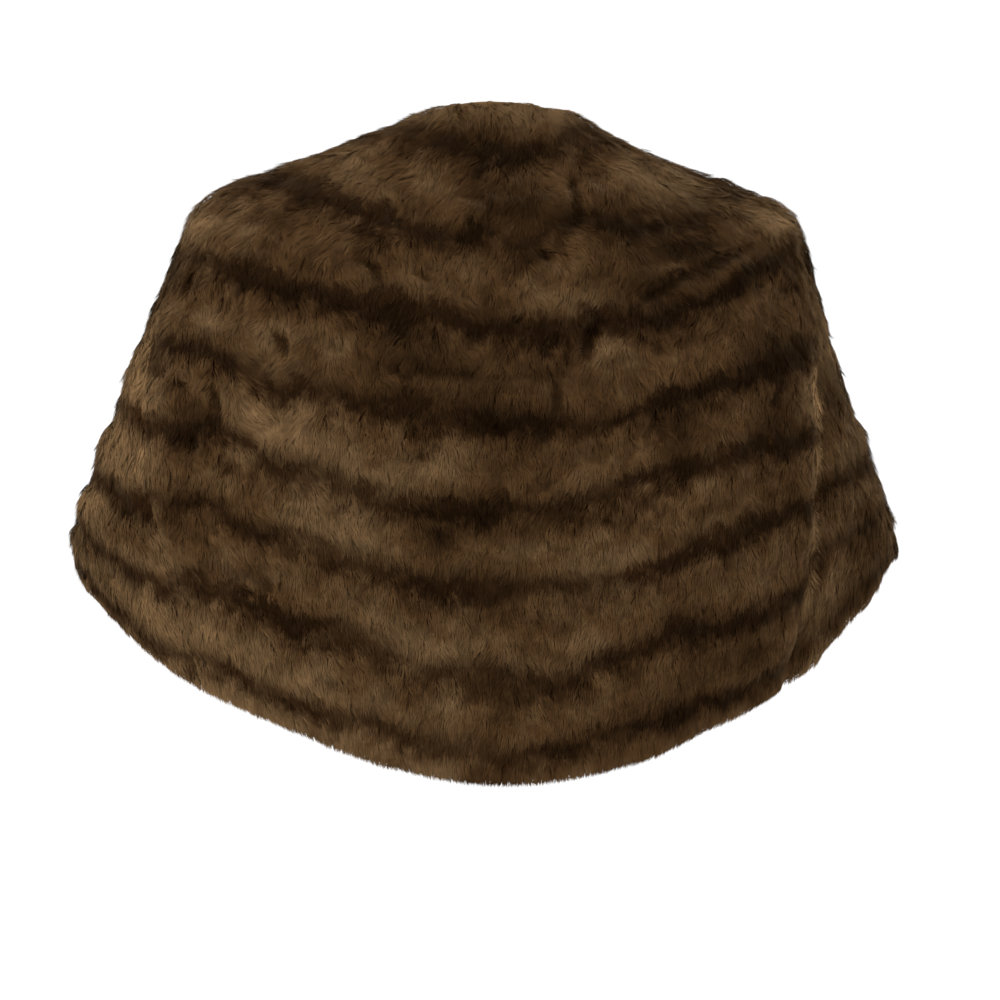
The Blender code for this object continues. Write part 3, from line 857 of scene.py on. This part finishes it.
# %% Underfur walls
UNDERFUR_DEPTH = 4.4    # under the combed hair, where nothing lifts or sinks it
UNDERFUR_LIMITS = (0.3, 9.2)
UNDERFUR_BACK = WALL - HIDE_THICKNESS - 0.2
UNDERFUR_ROWS = 121
UNDERFUR_STEPS = {"back": 55, "front": 71}
TUFT_FAN = 0.55
STROKE_PUSH = 0.9
BUNCHING = ((0.7, 61.0, 0.4), (0.5, 37.0, 1.9), (0.4, 23.0, 4.2))   # height, length in mm, start
BUNCH_BEND, BUNCH_BEND_RATE = 2.0, 0.4      # how far the waves bend, and how often
BUNCH_SLANT, BUNCH_CROSS_SLANT = 0.6, 0.3   # how the waves lean, and the waves across them
BUNCH_CROSS_START = 1.7                     # where those start, against the first


def bunching(points):
    """A low, soft unevenness in millimetres, from a few crossed waves."""
    x, y, z = np.moveaxis(points, -1, 0)
    total = np.zeros(points.shape[:-1])
    for height, size, start in BUNCHING:
        turn = 2.0 * math.pi / size
        bend = BUNCH_BEND * np.sin(turn * BUNCH_BEND_RATE * z + start)
        wave = height * np.sin(turn * (x + BUNCH_SLANT * y) + bend)
        total += wave * np.sin(turn * (z - BUNCH_CROSS_SLANT * y) + BUNCH_CROSS_START * start)
    return total


def underfur_depth(grid):
    """How deep the underfur lies, and the push of strokes and tufts on the hair."""
    sunk, push, _ = stroke_effects(grid["base"])
    _, wilder = patch_effects(grid["base"])
    lifted, _, fan = tuft_effects(grid, skin_number(grid))
    depth = UNDERFUR_DEPTH + grid["lower"] + sunk - bunching(grid["base"]) - wilder * lifted
    push = STROKE_PUSH * push + grid["ahead"] * (TUFT_FAN * wilder * fan)[..., None]
    return np.clip(depth, *UNDERFUR_LIMITS), push


underfurs = {}
for panel, side in PANELS:
    grid = panel_grid(panel, side, UNDERFUR_ROWS, UNDERFUR_STEPS[panel])
    outer, inner = layer(grid, underfur_depth(grid)[0]), layer(grid, UNDERFUR_BACK)
    wall = add_wall(f"underfur_{panel}_{side}", side, outer, inner)
    keep_values(wall.data, coat_values(grid), faces=2)
    underfurs[panel, side] = wall
print("underfur:", sum(len(wall.data.polygons) for wall in underfurs.values()), "faces")

# %% [markdown]
# ## The way the hair lies
#
# The strands start on the underfur and lie down the stole. They stand up a little at the neck edge,
# less so on the fronts, sweep over the front edges, and turn aside at each parting. They are
# trimmed short at the neck and the hem, and grow closer there, so that the edge is soft but clean.

# %% Directions and growth
NECK_STANDS = 11.0      # millimetres from the neck edge over which the hair stands up
NECK_TRIMS = 9.0        # and over which it is trimmed
HEM_TRIMS = 12.0        # and from the hem
EDGE_SWEEPS = 14.0      # and from a front edge over which it turns to that edge
TURN_SWEEPS = 9.0
STANDS_SHARE = {"back": 1.0, "front": 0.50}   # the fronts lie flatter beside the throat
STANDS_UP, STANDS_OUT = 0.74, 0.16   # how much less it lies down at the neck edge, and outwards
HEM_IN = 0.30
EDGE_TURN = 0.8
TURN_PARTS = {"left": 0.12, "right": 0.40}
GROWTH = {              # usually, and more at the neck, the hem, a front edge, and where it stands
    "lift": (1.0, 0.0, 0.0, 0.3, 0.7),
    "share": (1.0, -0.40, -0.50, 0.0, 0.0),
    "density": (0.9, 2.2, 1.6, 0.5, 0.0),
    "gather": (1.0, -0.9, -0.85, 0.0, 0.0),
}


def hair_directions(grid, push):
    """The way the hair lies, and its lift, share of length, density and gathering."""
    distances = grid["distances"]
    stands = STANDS_SHARE[grid["panel"]] * near(distances["neck"], NECK_STANDS)
    rim, hem = near(distances["neck"], NECK_TRIMS), near(distances["hem"], HEM_TRIMS)
    edge = np.exp(-distances["edge"] / EDGE_SWEEPS)
    parts = TURN_PARTS[grid["side"]] * near(distances["turn"], TURN_SWEEPS)
    parts = parts * (-1.0 if grid["panel"] == "back" else 1.0)
    lie = grid["down"] * (1.0 - STANDS_UP * stands)[..., None]
    lie = lie + grid["ahead"] * (EDGE_TURN * edge + parts)[..., None]
    lie = lie + grid["outward"] * (STANDS_OUT * stands - HEM_IN * hem)[..., None]
    places = (1.0, rim, hem, edge, stands)
    growth = {
        name: sum(weight * place for weight, place in zip(weights, places))
        for name, weights in GROWTH.items()}
    return lie + push, growth


print("the hair's growth changes at the edges:", ", ".join(GROWTH))

# %% [markdown]
# ## Carriers for the hair
#
# A carrier is a fine grid of the underfur's face that holds these directions as named values, where
# the hair's node tree reads them. It could hold only points, but then nothing would say how densely
# to sow. It also holds the way the coat faces, with its relief overstated, because real hair shades
# far more than slivers this wide can.

# %% Carriers
CARRIER_ROWS = {"back": 120, "front": 200}
CARRIER_STEPS = {"back": 125, "front": 140}
CARRIER_INSET = 0.03    # rows between the fur's edge and the first roots
ROOT_DEPTH = 0.2        # how deep in the underfur the roots are
TAMED = 0.35            # how much calmer the hair's swirls are than its tufts
WILD_ABOVE = 1.0        # how much wilder the hair is at the neck than at the hem
RELIEF = 2.6            # how far the coat's light and shade overstate its relief


def coat_normals(grid, depth):
    """The way each place of the coat faces, with its tufts and creases overstated."""
    middle = float(depth.mean())
    points = layer(grid, middle + RELIEF * (depth - middle))
    facing = np.cross(np.gradient(points, axis=0), np.gradient(points, axis=1))
    facing *= np.sign(np.sum(facing * grid["outward"], axis=-1, keepdims=True))
    facing /= np.linalg.norm(facing, axis=-1, keepdims=True)
    to_rim = np.minimum(grid["distances"]["neck"], grid["distances"]["hem"])
    rim = near(to_rim, NECK_STANDS)[..., None]
    return facing * (1.0 - rim) + grid["outward"] * rim


def add_carrier(name, panel, side, from_row, to_row):
    """A patch of the underfur's face that carries the hair's named values."""
    first, last = max(from_row, CARRIER_INSET), min(to_row, HEM_ROW - HEM_INSET)
    grid = panel_grid(panel, side, CARRIER_ROWS[panel], CARRIER_STEPS[panel], first, last)
    depth, push = underfur_depth(grid)
    lie, growth = hair_directions(grid, push)
    above_hem = (1.0 - grid["rows"] / HEM_ROW)[:, None]
    values = {
        "outward": grid["outward"],
        "lie": lie,
        "coat": coat_normals(grid, depth),
        "wild": patch_effects(grid["base"])[1] - TAMED + WILD_ABOVE * above_hem,
        **coat_values(grid, ROOT_ABOVE),
        **growth,
    }
    carrier = add_mesh(name, side, layer(grid, depth + ROOT_DEPTH), grid_faces(*depth.shape))
    keep_values(carrier.data, values)
    return carrier


print("a carrier of a back has", CARRIER_ROWS["back"] * CARRIER_STEPS["back"], "points")

# %% [markdown]
# ## What a strand is
#
# A strand is a bent sliver: a root, two points at its widest, and a tip, two triangles in all. It
# could be a curve or a particle, but only a mesh leaves Blender with the model. A four-cornered
# disc is pulled to that shape by sums on its corners.

# %% Small parts of the hair's tree
WIDEST = 0.28           # how far up a strand it is widest
STRAND_LOTS = {         # what differs from strand to strand: least, most, and the seed
    "lot": (0.0, 1.0, 11),
    "stray": (-1.0, 1.0, 23),
    "length": (0.72, 1.10, 37),
    "rise": (-0.08, 0.12, 41),
    "roll": (-0.5, 0.5, 53),
    "width": (0.65, 1.25, 61),
}


def named(tree, name, kind="FLOAT"):
    """A named value of the geometry."""
    return tree.node("GeometryNodeInputNamedAttribute", {"data_type": kind}, {"Name": name})


def keep(tree, geometry, name, value):
    """Stores a number on each point, under a name."""
    return tree.node(
        "GeometryNodeStoreNamedAttribute", {"domain": "POINT"},
        {"Geometry": geometry, "Name": name, "Value": value})


def chance(tree, what):
    """A number for each strand, by lot."""
    least, most, seed = STRAND_LOTS[what]
    return tree.node(
        "FunctionNodeRandomValue", {}, {2: least, 3: most, "Seed": seed}, output=1)


def lock_of(tree, root, size):
    """The way from a root to the middle of its lock, and the lock's own lot."""
    middle = tree.node(
        "ShaderNodeTexVoronoi", {}, {"Vector": root, "Scale": 1.0 / size}, output="Position")
    lot = tree.node("ShaderNodeTexWhiteNoise", {}, {"Vector": middle}, output="Value")
    return tree.vector("SUBTRACT", middle, root), lot


def strand_shape(tree, bend):
    """A sliver one unit long and wide: its root at 0, its tip at 1, its middle lifted."""
    ring = tree.node(
        "GeometryNodeMeshCircle", {"fill_type": "NGON"}, {"Vertices": 4, "Radius": 1.0})
    corner = tree.node("GeometryNodeInputPosition")
    x, y = (tree.node("ShaderNodeSeparateXYZ", {}, {0: corner}, output=axis) for axis in "XY")
    up_strand = x * 0.5 + x * x * (0.5 - WIDEST) + WIDEST
    lifted = (1.0 - x * x) * bend
    moved = tree.node("ShaderNodeCombineXYZ", {}, {"X": up_strand, "Y": y * 0.5, "Z": lifted})
    kept = keep(tree, ring, "to_tip", up_strand)
    placed = tree.node("GeometryNodeSetPosition", {}, {"Geometry": kept, "Position": moved})
    return tree.node(
        "GeometryNodeTriangulate", {"quad_method": "FIXED_ALTERNATE"}, {"Mesh": placed})


print("lots drawn for each strand:", ", ".join(STRAND_LOTS))

# %% [markdown]
# ## One tree grows all the hair
#
# The tree scatters roots over a carrier, turns each strand to the way the hair lies, gathers
# neighbours into locks by pulling their tips together, and makes the result real geometry. How far
# each point is from root to tip, the strand's lots and the stripe's number stay on the strands for
# the material.

# %% The hair's tree
HAIR_SOCKETS = (
    ("Carrier", "Geometry"),
    ("Material", "Material"),
    ("Hairs per Square Metre", "Float", 800000.0),
    ("Length", "Float", 0.0118),
    ("Width", "Float", 0.00062),
    ("Bend", "Float", 0.16),
    ("Rise", "Float", 0.19),
    ("Swirl", "Float", 1.5),
    ("Stray", "Float", 0.16),
    ("Lock Size", "Float", 0.0034),
    ("Lock Pull", "Float", 0.30),
    ("Tuft Size", "Float", 0.0130),
    ("Tuft Pull", "Float", 0.34),
    ("Seed", "Int", 1),
)
BROAD_SWIRL, NARROW_SWIRL = (0.042, 1.6), (0.013, 1.3)   # size in metres, and strength
UNEVEN_RISE = 0.16      # how differently whole locks rise


def swirls(tree, root):
    """How far the hair turns aside in soft swirls."""
    broad, narrow = (
        (tree.noise(root, size, detail=1.0) - 0.5) * strength
        for size, strength in (BROAD_SWIRL, NARROW_SWIRL))
    return broad + narrow


def strand_pose(tree, given, root, length):
    """The turn of each strand, and the lots of its lock and its tuft."""
    outward, lie = named(tree, "outward", "FLOAT_VECTOR"), named(tree, "lie", "FLOAT_VECTOR")
    beside = tree.vector("CROSS_PRODUCT", outward, lie)
    swirl = swirls(tree, root) * given["Swirl"] * named(tree, "wild")
    turned = swirl + chance(tree, "stray") * given["Stray"]
    to_lock, lock_lot = lock_of(tree, root, given["Lock Size"])
    to_tuft, tuft_lot = lock_of(tree, root, given["Tuft Size"])
    gather = named(tree, "gather") / length
    uneven = (lock_lot - 0.5) * UNEVEN_RISE + (tuft_lot - 0.5) * UNEVEN_RISE
    rise = named(tree, "lift") * (given["Rise"] + chance(tree, "rise") + uneven)
    aim = lie
    for way, share in (
            (beside, turned), (outward, rise),
            (to_lock, given["Lock Pull"] * gather), (to_tuft, given["Tuft Pull"] * gather)):
        aim = tree.vector("ADD", aim, tree.scaled(way, share))
    pose = tree.node(
        "FunctionNodeAxesToRotation", {"primary_axis": "X", "secondary_axis": "Z"},
        {"Primary Axis": aim, "Secondary Axis": outward})
    roll = tree.node(
        "FunctionNodeAxisAngleToRotation", {},
        {"Axis": (1.0, 0.0, 0.0), "Angle": chance(tree, "roll")})
    pose = tree.node(
        "FunctionNodeRotateRotation", {"rotation_space": "LOCAL"},
        {"Rotation": pose, "Rotate By": roll})
    return pose, lock_lot, tuft_lot


def build_hair_tree():
    """The node tree that covers a carrier with hair."""
    group = bpy.data.node_groups.new("Fur", "GeometryNodeTree")
    for name, kind, *usual in HAIR_SOCKETS:
        socket = group.interface.new_socket(
            name, in_out="INPUT", socket_type="NodeSocket" + kind)
        if usual:
            socket.default_value = usual[0]
    group.interface.new_socket("Hair", in_out="OUTPUT", socket_type="NodeSocketGeometry")
    tree = Tree(group)
    start = group.nodes.new("NodeGroupInput")
    given = {socket.name: Wire(tree, socket) for socket in start.outputs if socket.name}

    density = given["Hairs per Square Metre"] * named(tree, "density")
    roots = tree.node(
        "GeometryNodeDistributePointsOnFaces", {},
        {"Mesh": given["Carrier"], "Density": density, "Seed": given["Seed"]})
    root = tree.node("GeometryNodeInputPosition")
    length = given["Length"] * named(tree, "share") * chance(tree, "length")
    pose, lock_lot, tuft_lot = strand_pose(tree, given, root, length)
    width = given["Width"] * chance(tree, "width")
    size = tree.node("ShaderNodeCombineXYZ", {}, {"X": length, "Y": width, "Z": length})
    lots = {"hair_lot": chance(tree, "lot"), "lock_lot": lock_lot, "tuft_lot": tuft_lot}
    for name, lot in lots.items():
        roots = keep(tree, roots, name, lot)
    strand = strand_shape(tree, given["Bend"])
    hair = tree.node(
        "GeometryNodeInstanceOnPoints", {},
        {"Points": roots, "Instance": strand, "Rotation": pose, "Scale": size})
    for name in ("outward", "lie", "wild", *GROWTH):
        hair = tree.node("GeometryNodeRemoveAttribute", {}, {"Geometry": hair, "Name": name})
    for kind, inputs in (
            ("RealizeInstances", {}), ("SetShadeSmooth", {"Shade Smooth": True}),
            ("SetMaterial", {"Material": given["Material"]})):
        hair = tree.node("GeometryNode" + kind, {}, {"Geometry": hair, **inputs})
    tree.feed(group.nodes.new("NodeGroupOutput"), {"Hair": hair})
    return group


hair_tree = build_hair_tree()
print("the hair's tree has", len(hair_tree.nodes), "nodes")

# %% [markdown]
# ## Colour of the coat
#
# Mink is darker over the spine than at the flanks. A strand's stripe number tells how far it is
# from its skin's spine, so the stripes need no painted picture. A lot drawn for each strand and
# slow clouds over the stole break the stripe's edge, so it is never ruled. The underfur takes the
# same colour, and shows as darker only because it lies deep.

# %% Colour from the stripe's number
SPINE_COLOUR = (0.0235, 0.0104, 0.0038, 1.0)
FLANK_COLOUR = (0.1060, 0.0625, 0.0285, 1.0)
WARM_FLANK_COLOUR = (0.0980, 0.0490, 0.0185, 1.0)
COAT_LIGHT = 0.690      # one number that makes the whole coat lighter or darker
SMALL_CLOUD, SLOW_CLOUD, SPINE_CLOUD, BREADTH_CLOUD = 0.016, 0.048, 0.030, 0.070
STRAND_SHIFT, LOCK_SHIFT = 0.06, 0.09    # how far a strand or lock is off its stripe, in skins
SMALL_SHIFT, SLOW_SHIFT = 0.34, 0.50     # the same for the clouds
BELOW_SPINE, ABOVE_SPINE = (0.02, 0.43), (0.00, 0.23)   # where the dark starts to fade, and ends
WARM_BELOW = (0.60, 1.45)                # the tones between which a flank turns from warm to grey
BREADTH, SPINE_STRENGTH = (0.50, 0.78), (0.40, 1.30)    # least, and how much a cloud can add
SLOW_LIGHT, SMALL_LIGHT = (0.45, 1.10), (0.50, 1.00)    # the same for the clouds' light
FLANK_LIGHT, FLANK_STARTS = (0.88, 0.24), (0.10, 0.72)  # at the spine and more, and from where on


def grown(least, more, wire):
    """A number that grows from its least with a wire that runs from 0 to 1."""
    return least + more * wire


def coat_colour(tree, here, lot, lock_lot):
    """The coat's colour and light at a place, from its stripe's number, its tone and painted light
    and shade, and lots.
    """
    cloud = tree.noise(here, SMALL_CLOUD)
    slow = tree.noise(here, SLOW_CLOUD, detail=1.0)
    broken = (cloud - 0.5) * SMALL_SHIFT + (slow - 0.5) * SLOW_SHIFT
    band = tree.value("band") + (lot - 0.5) * STRAND_SHIFT + (lock_lot - 0.5) * LOCK_SHIFT + broken
    past_spine = tree.fraction(band + 0.5)
    breadth = grown(*BREADTH, tree.noise(here, BREADTH_CLOUD, detail=1.0))
    below = 1.0 - tree.smooth(past_spine / breadth, *BELOW_SPINE)
    above = 1.0 - tree.smooth((1.0 - past_spine) / breadth, *ABOVE_SPINE)
    uneven = grown(*SPINE_STRENGTH, tree.noise(here, SPINE_CLOUD, detail=1.0))
    spine = (below + above) * tree.value("darkness") * uneven
    light = tree.value("tone_and_painted_light") * grown(*SLOW_LIGHT, slow) * grown(*SMALL_LIGHT, cloud)
    light = light * grown(*FLANK_LIGHT, tree.smooth(past_spine, *FLANK_STARTS))
    flank = tree.mix(tree.smooth(light, *WARM_BELOW), WARM_FLANK_COLOUR, FLANK_COLOUR)
    return tree.mix(spine, flank, SPINE_COLOUR), COAT_LIGHT * light


print("spine, flank and warm flank:", SPINE_COLOUR[:3], FLANK_COLOUR[:3], WARM_FLANK_COLOUR[:3])

# %% [markdown]
# ## Gloss of the hair
#
# This mink has a satin bloom and no bright streaks. Slivers far wider than real hair would sparkle
# if they mirrored the lamps, so they don't: a weak sheen gives the bloom. A few strands have pale
# tips, which are painted glints, and every strand is painted in shade at its root and in light at
# its tip. Each is shaded mostly the way the coat faces and a little by itself.

# %% Hair material
PALE_GLINT_COLOUR = (0.2300, 0.1750, 0.1100, 1.0)
PALE_TIPS = 0.20        # how much of the painted glint's pale colour the tips take
PALE_LOTS = (0.90, 0.97)    # strands with lots above these have painted glints at their pale tips
PALE_PART = (0.4, 1.0)  # how far up a strand its paleness starts, and is full
ROOT_SHADE_TIP_LIGHT = (0.80, 0.36)    # painted shade at a strand's root and painted light at its tip: the light at its root, and how much more at its tip
LOT_LIGHT = {"hair_lot": (0.93, 0.14), "lock_lot": (0.89, 0.22), "tuft_lot": (0.86, 0.28)}
COAT_FACING = 3.2       # how far the coat's facing outweighs the strand's own
HAIR_CONSTANTS = {
    "Roughness": 0.55, "Specular IOR Level": 0.0,
    "Sheen Weight": 0.16, "Sheen Roughness": 0.50, "Sheen Tint": (0.62, 0.43, 0.25, 1.0)}


def build_hair_material():
    material, tree, shader = new_material("mink_guard_hair", HAIR_CONSTANTS)
    lots = {name: tree.value(name) for name in LOT_LIGHT}
    to_tip = tree.value("to_tip")
    colour, light = coat_colour(tree, tree.here(), lots["hair_lot"], lots["lock_lot"])
    # painted glints: a few strands' tips painted pale, as highlights
    tip_glint = tree.smooth(lots["hair_lot"], *PALE_LOTS) * tree.smooth(to_tip, *PALE_PART) * PALE_TIPS
    colour = tree.mix(tip_glint, colour, PALE_GLINT_COLOUR)
    # painted shade at the roots, where strands shade each other, and painted light towards the tips
    light = light * grown(*ROOT_SHADE_TIP_LIGHT, to_tip)
    for name, lot in lots.items():
        light = light * grown(*LOT_LIGHT[name], lot)
    coat = tree.node("ShaderNodeAttribute", {"attribute_name": "coat"}, output="Vector")
    facing = tree.node("ShaderNodeNewGeometry", output="Normal")
    soft = tree.vector("NORMALIZE", tree.vector("ADD", tree.scaled(coat, COAT_FACING), facing))
    tree.feed(shader, {"Base Color": tree.scaled(colour, light), "Normal": soft})
    return material


hair_material = build_hair_material()
print("hair material:", len(hair_material.node_tree.nodes), "nodes")

# %% [markdown]
# ## Growing the hair
#
# Each area of hair is one piece, small enough to be handled. The tree runs as a modifier on the
# carrier, the result becomes a plain mesh, and the carrier goes. The strands also get a map of
# their own, one small cell each, so that their colours can be painted onto an image if the model
# ever leaves Blender.

# %% Grow and keep
HAIR_AREAS = (
    ("guard_hair_back_left_upper", "back", "left", 0.0, 4.0),
    ("guard_hair_back_left_lower", "back", "left", 4.0, 8.0),
    ("guard_hair_back_right_upper", "back", "right", 0.0, 4.0),
    ("guard_hair_back_right_lower", "back", "right", 4.0, 8.0),
    ("guard_hair_front_left", "front", "left", 0.0, 8.0),
    ("guard_hair_front_right", "front", "right", 0.0, 8.0),
)
HAIRS_PER_SQUARE_METRE = {"back": 860000.0, "front": 580000.0}
CELL_CORNERS = ((0.5, 0.92), (0.92, 0.45), (0.5, 0.08), (0.08, 0.45))   # a strand's, on the map


def set_inputs(modifier, group, values):
    """Sets a Geometry Nodes modifier's inputs by their sockets' identifiers."""
    for item in group.interface.items_tree:
        if item.in_out == "INPUT" and item.name in values:
            modifier[item.identifier] = values[item.name]


def map_strands(mesh):
    """Gives each strand one cell of a square map."""
    cells = math.ceil(math.sqrt(len(mesh.polygons) // 2))
    corners = np.empty(len(mesh.loops), np.int32)
    mesh.loops.foreach_get("vertex_index", corners)
    strand, corner = corners // 4, corners % 4
    places = np.stack((strand % cells, strand // cells), axis=1) + np.array(CELL_CORNERS)[corner]
    strand_map = mesh.uv_layers.new(name="OFBake")
    strand_map.uv.foreach_set("vector", (places / cells).astype(np.float32).ravel())


def grow(name, panel, side, from_row, to_row, seed):
    """Covers one area with hair and returns it as a plain mesh."""
    carrier = add_carrier(name + "_carrier", panel, side, from_row, to_row)
    area = sum(polygon.area for polygon in carrier.data.polygons)
    modifier = carrier.modifiers.new("Fur", "NODES")
    modifier.node_group = hair_tree
    density = HAIRS_PER_SQUARE_METRE[panel]
    set_inputs(modifier, hair_tree, {
        "Hairs per Square Metre": density, "Seed": seed, "Material": hair_material})
    evaluated = carrier.evaluated_get(bpy.context.evaluated_depsgraph_get())
    mesh = bpy.data.meshes.new_from_object(evaluated)
    mesh.name = name
    bpy.data.objects.remove(carrier)
    map_strands(mesh)
    print(name, "-", len(mesh.polygons), "triangles on", round(area * 1e4), "square centimetres")
    return add_object(name, mesh)


coats = {}
for seed, (name, *area) in enumerate(HAIR_AREAS, start=1):
    coats[name] = grow(name, *area, seed)
print("hair:", sum(len(hair.data.polygons) for hair in coats.values()), "triangles in all")

# %% [markdown]
# ## Underfur and leather finishes
#
# Underfur is matt and woolly, and takes the coat's own colour. The skin side is suede: matt,
# mottled by the tanning, with a fine nap, and darker along the sewn seams.

# %% Underfur and leather materials
WOOL, MOTTLE, NAP = 0.0025, 0.050, 0.0012       # sizes in metres
WOOL_LIGHT, NAP_LIGHT = (0.6, 0.8), (0.85, 0.30)    # least, and how much more
WOOL_RELIEF, SUEDE_RELIEF = (0.6, 0.0015), (0.7, 0.0010)    # strength, and height in metres
NAP_RELIEF = 0.25               # beside a seam's
MOTTLE_FADE = (0.25, 0.75)
SEAM_FADE = (0.010, 0.035)      # a seam's dark line, as parts of a skin's width
SEAM_STRENGTH = 0.8
SUEDE_COLOUR = (0.220, 0.1350, 0.0780, 1.0)
SUEDE_DARK_COLOUR = (0.175, 0.1030, 0.0580, 1.0)
SEAM_COLOUR = (0.060, 0.0300, 0.0160, 1.0)


def bump(tree, height, strength, distance):
    """Small relief, for what is finer than the mesh."""
    return tree.node(
        "ShaderNodeBump", {}, {"Height": height, "Strength": strength, "Distance": distance})


def build_underfur_material():
    material, tree, shader = new_material(
        "mink_underfur", {"Roughness": 0.95, "Specular IOR Level": 0.0})
    here = tree.here()
    wool = tree.noise(here, WOOL, detail=4.0, roughness=0.7)
    colour, light = coat_colour(tree, here, wool, wool)
    colour = tree.scaled(colour, light * grown(*WOOL_LIGHT, wool))
    tree.feed(shader, {"Base Color": colour, "Normal": bump(tree, wool, *WOOL_RELIEF)})
    return material


def build_leather_material():
    material, tree, shader = new_material(
        "suede_skin_side", {"Roughness": 0.85, "Specular IOR Level": 0.20})
    here = tree.here()
    to_seam = 0.5 - abs(tree.fraction(tree.value("skin_row")) - 0.5)
    seam = 1.0 - tree.smooth(to_seam, *SEAM_FADE)
    mottle = tree.smooth(tree.noise(here, MOTTLE, detail=3.0), *MOTTLE_FADE)
    nap = tree.noise(here, NAP, detail=3.0, roughness=0.7)
    colour = tree.mix(mottle, SUEDE_DARK_COLOUR, SUEDE_COLOUR)
    colour = tree.mix(seam * SEAM_STRENGTH, colour, SEAM_COLOUR)
    colour = tree.scaled(colour, grown(*NAP_LIGHT, nap))
    relief = bump(tree, nap * NAP_RELIEF - seam, *SUEDE_RELIEF)
    tree.feed(shader, {"Base Color": colour, "Normal": relief})
    return material


finishes = ((underfurs, build_underfur_material()), (hides, build_leather_material()))
for walls, finish in finishes:
    for wall in walls.values():
        wall.data.materials.append(finish)
print("finishes:", ", ".join(finish.name for _, finish in finishes))

# %% [markdown]
# ## Joining it to the imported model
#
# Every piece rides on the model's one body and stands for the solids it covers. A sewn panel of
# leather is a sheet, and the size it was cut to is measured along its rows and down them, and
# printed.

# %% Ride, replace and measure the cut
CUT_ROWS, CUT_STEPS = 60, 40    # the grid that the cut is measured on


def nodes_of(panel, side, from_row=0, to_row=HEM_ROW):
    """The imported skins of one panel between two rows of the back, or all skins of a front."""
    first, last = (int(from_row), int(to_row)) if panel == "back" else (0, PANEL_SKINS[panel])
    return [f"{panel}_{side}_{number + 1}" for number in range(first, last)]


def flat_cut(panel, side):
    """A panel's width, depth and area in metres, before it was worn."""
    points = layer(panel_grid(panel, side, CUT_ROWS, CUT_STEPS), WALL) * MM
    across = np.linalg.norm(np.diff(points, axis=1), axis=-1).sum(axis=1)
    depth = np.linalg.norm(np.diff(points, axis=0), axis=-1).sum(axis=0)
    corner = points[:-1, :-1]
    patches = np.cross(points[1:, :-1] - corner, points[:-1, 1:] - corner)
    return float(across.max()), float(depth.max()), float(np.linalg.norm(patches, axis=-1).sum())


for (panel, side), hide in hides.items():
    underfur = underfurs[panel, side]
    hair_here = [coats[name] for name, *area in HAIR_AREAS if area[:2] == [panel, side]]
    for piece in (hide, underfur):
        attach(piece, "root")
        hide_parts(*nodes_of(panel, side))
    width, depth, area = flat_cut(panel, side)
    print(hide.name, "was cut", round(width / MM), "by", round(depth / MM), "mm,",
          round(area * 1e4), "square centimetres")
for name, *area in HAIR_AREAS:
    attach(coats[name], "root")
    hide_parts(*nodes_of(*area))

# %% [markdown]
# ## Floor, light and camera
#
# The stole is seen from behind, level with its middle, from a little over two metres. The light is
# soft and comes mostly from the wearer's left and above, over a pale floor and against a pale room.

# %% Stage
FLOOR_BELOW = 1.40      # metres from the base of the neck to the floor
FLOOR_REACH = 40.0
CAMERA_PLACE = (-0.0113, 2.300, -0.322)
CAMERA_LENS = 95.2      # with a sensor 36 mm wide
ROOM_LIGHT = 1.08
LAMPS = (
    ("key", (2.2, 2.2, 1.8), 1.5, 100.0, (1.0, 0.97, 0.93)),
    ("fill", (-2.4, 1.8, 0.6), 2.0, 20.0, (0.97, 0.98, 1.0)),
    ("front", (0.8, -2.6, 1.4), 1.4, 70.0, (1.0, 0.98, 0.95)),
)
AIM = (0.0, 0.0, -0.27)

floor_mesh = bpy.data.meshes.new("floor")
corners = [(x * FLOOR_REACH, y * FLOOR_REACH) for x, y in ((-1, -1), (1, -1), (1, 1), (-1, 1))]
floor_mesh.from_pydata([(x, y, -FLOOR_BELOW) for x, y in corners], [], [(0, 1, 2, 3)])
floor = add_object("floor", floor_mesh)
floor_paint = {"Base Color": (0.95, 0.95, 0.95, 1.0), "Roughness": 0.8}
floor.data.materials.append(new_material("pale_floor", floor_paint)[0])

for name, where, size, power, colour in LAMPS:
    light = bpy.data.lights.new(name, "AREA")
    light.shape, light.size, light.energy, light.color = "DISK", size, power, colour
    lamp = add_object(name, light)
    lamp.location = where
    lamp.rotation_euler = (Vector(AIM) - lamp.location).to_track_quat("-Z", "Y").to_euler()

world = bpy.data.worlds.new("pale_room")
world.use_nodes = True
room = world.node_tree.nodes["Background"].inputs
room["Color"].default_value, room["Strength"].default_value = (1.0, 1.0, 1.0, 1.0), ROOM_LIGHT
bpy.context.scene.world = world
bpy.context.scene.view_settings.view_transform = "Standard"

camera_data = bpy.data.cameras.new("camera")
camera_data.lens, camera_data.sensor_width = CAMERA_LENS, 36.0
camera = add_object("camera", camera_data)
camera.location = CAMERA_PLACE
camera.rotation_euler = (math.radians(90.0), 0.0, math.radians(180.0))
bpy.context.scene.camera = camera
print("lamps:", len(LAMPS), "- camera", round(CAMERA_PLACE[1], 2), "metres behind the neck")
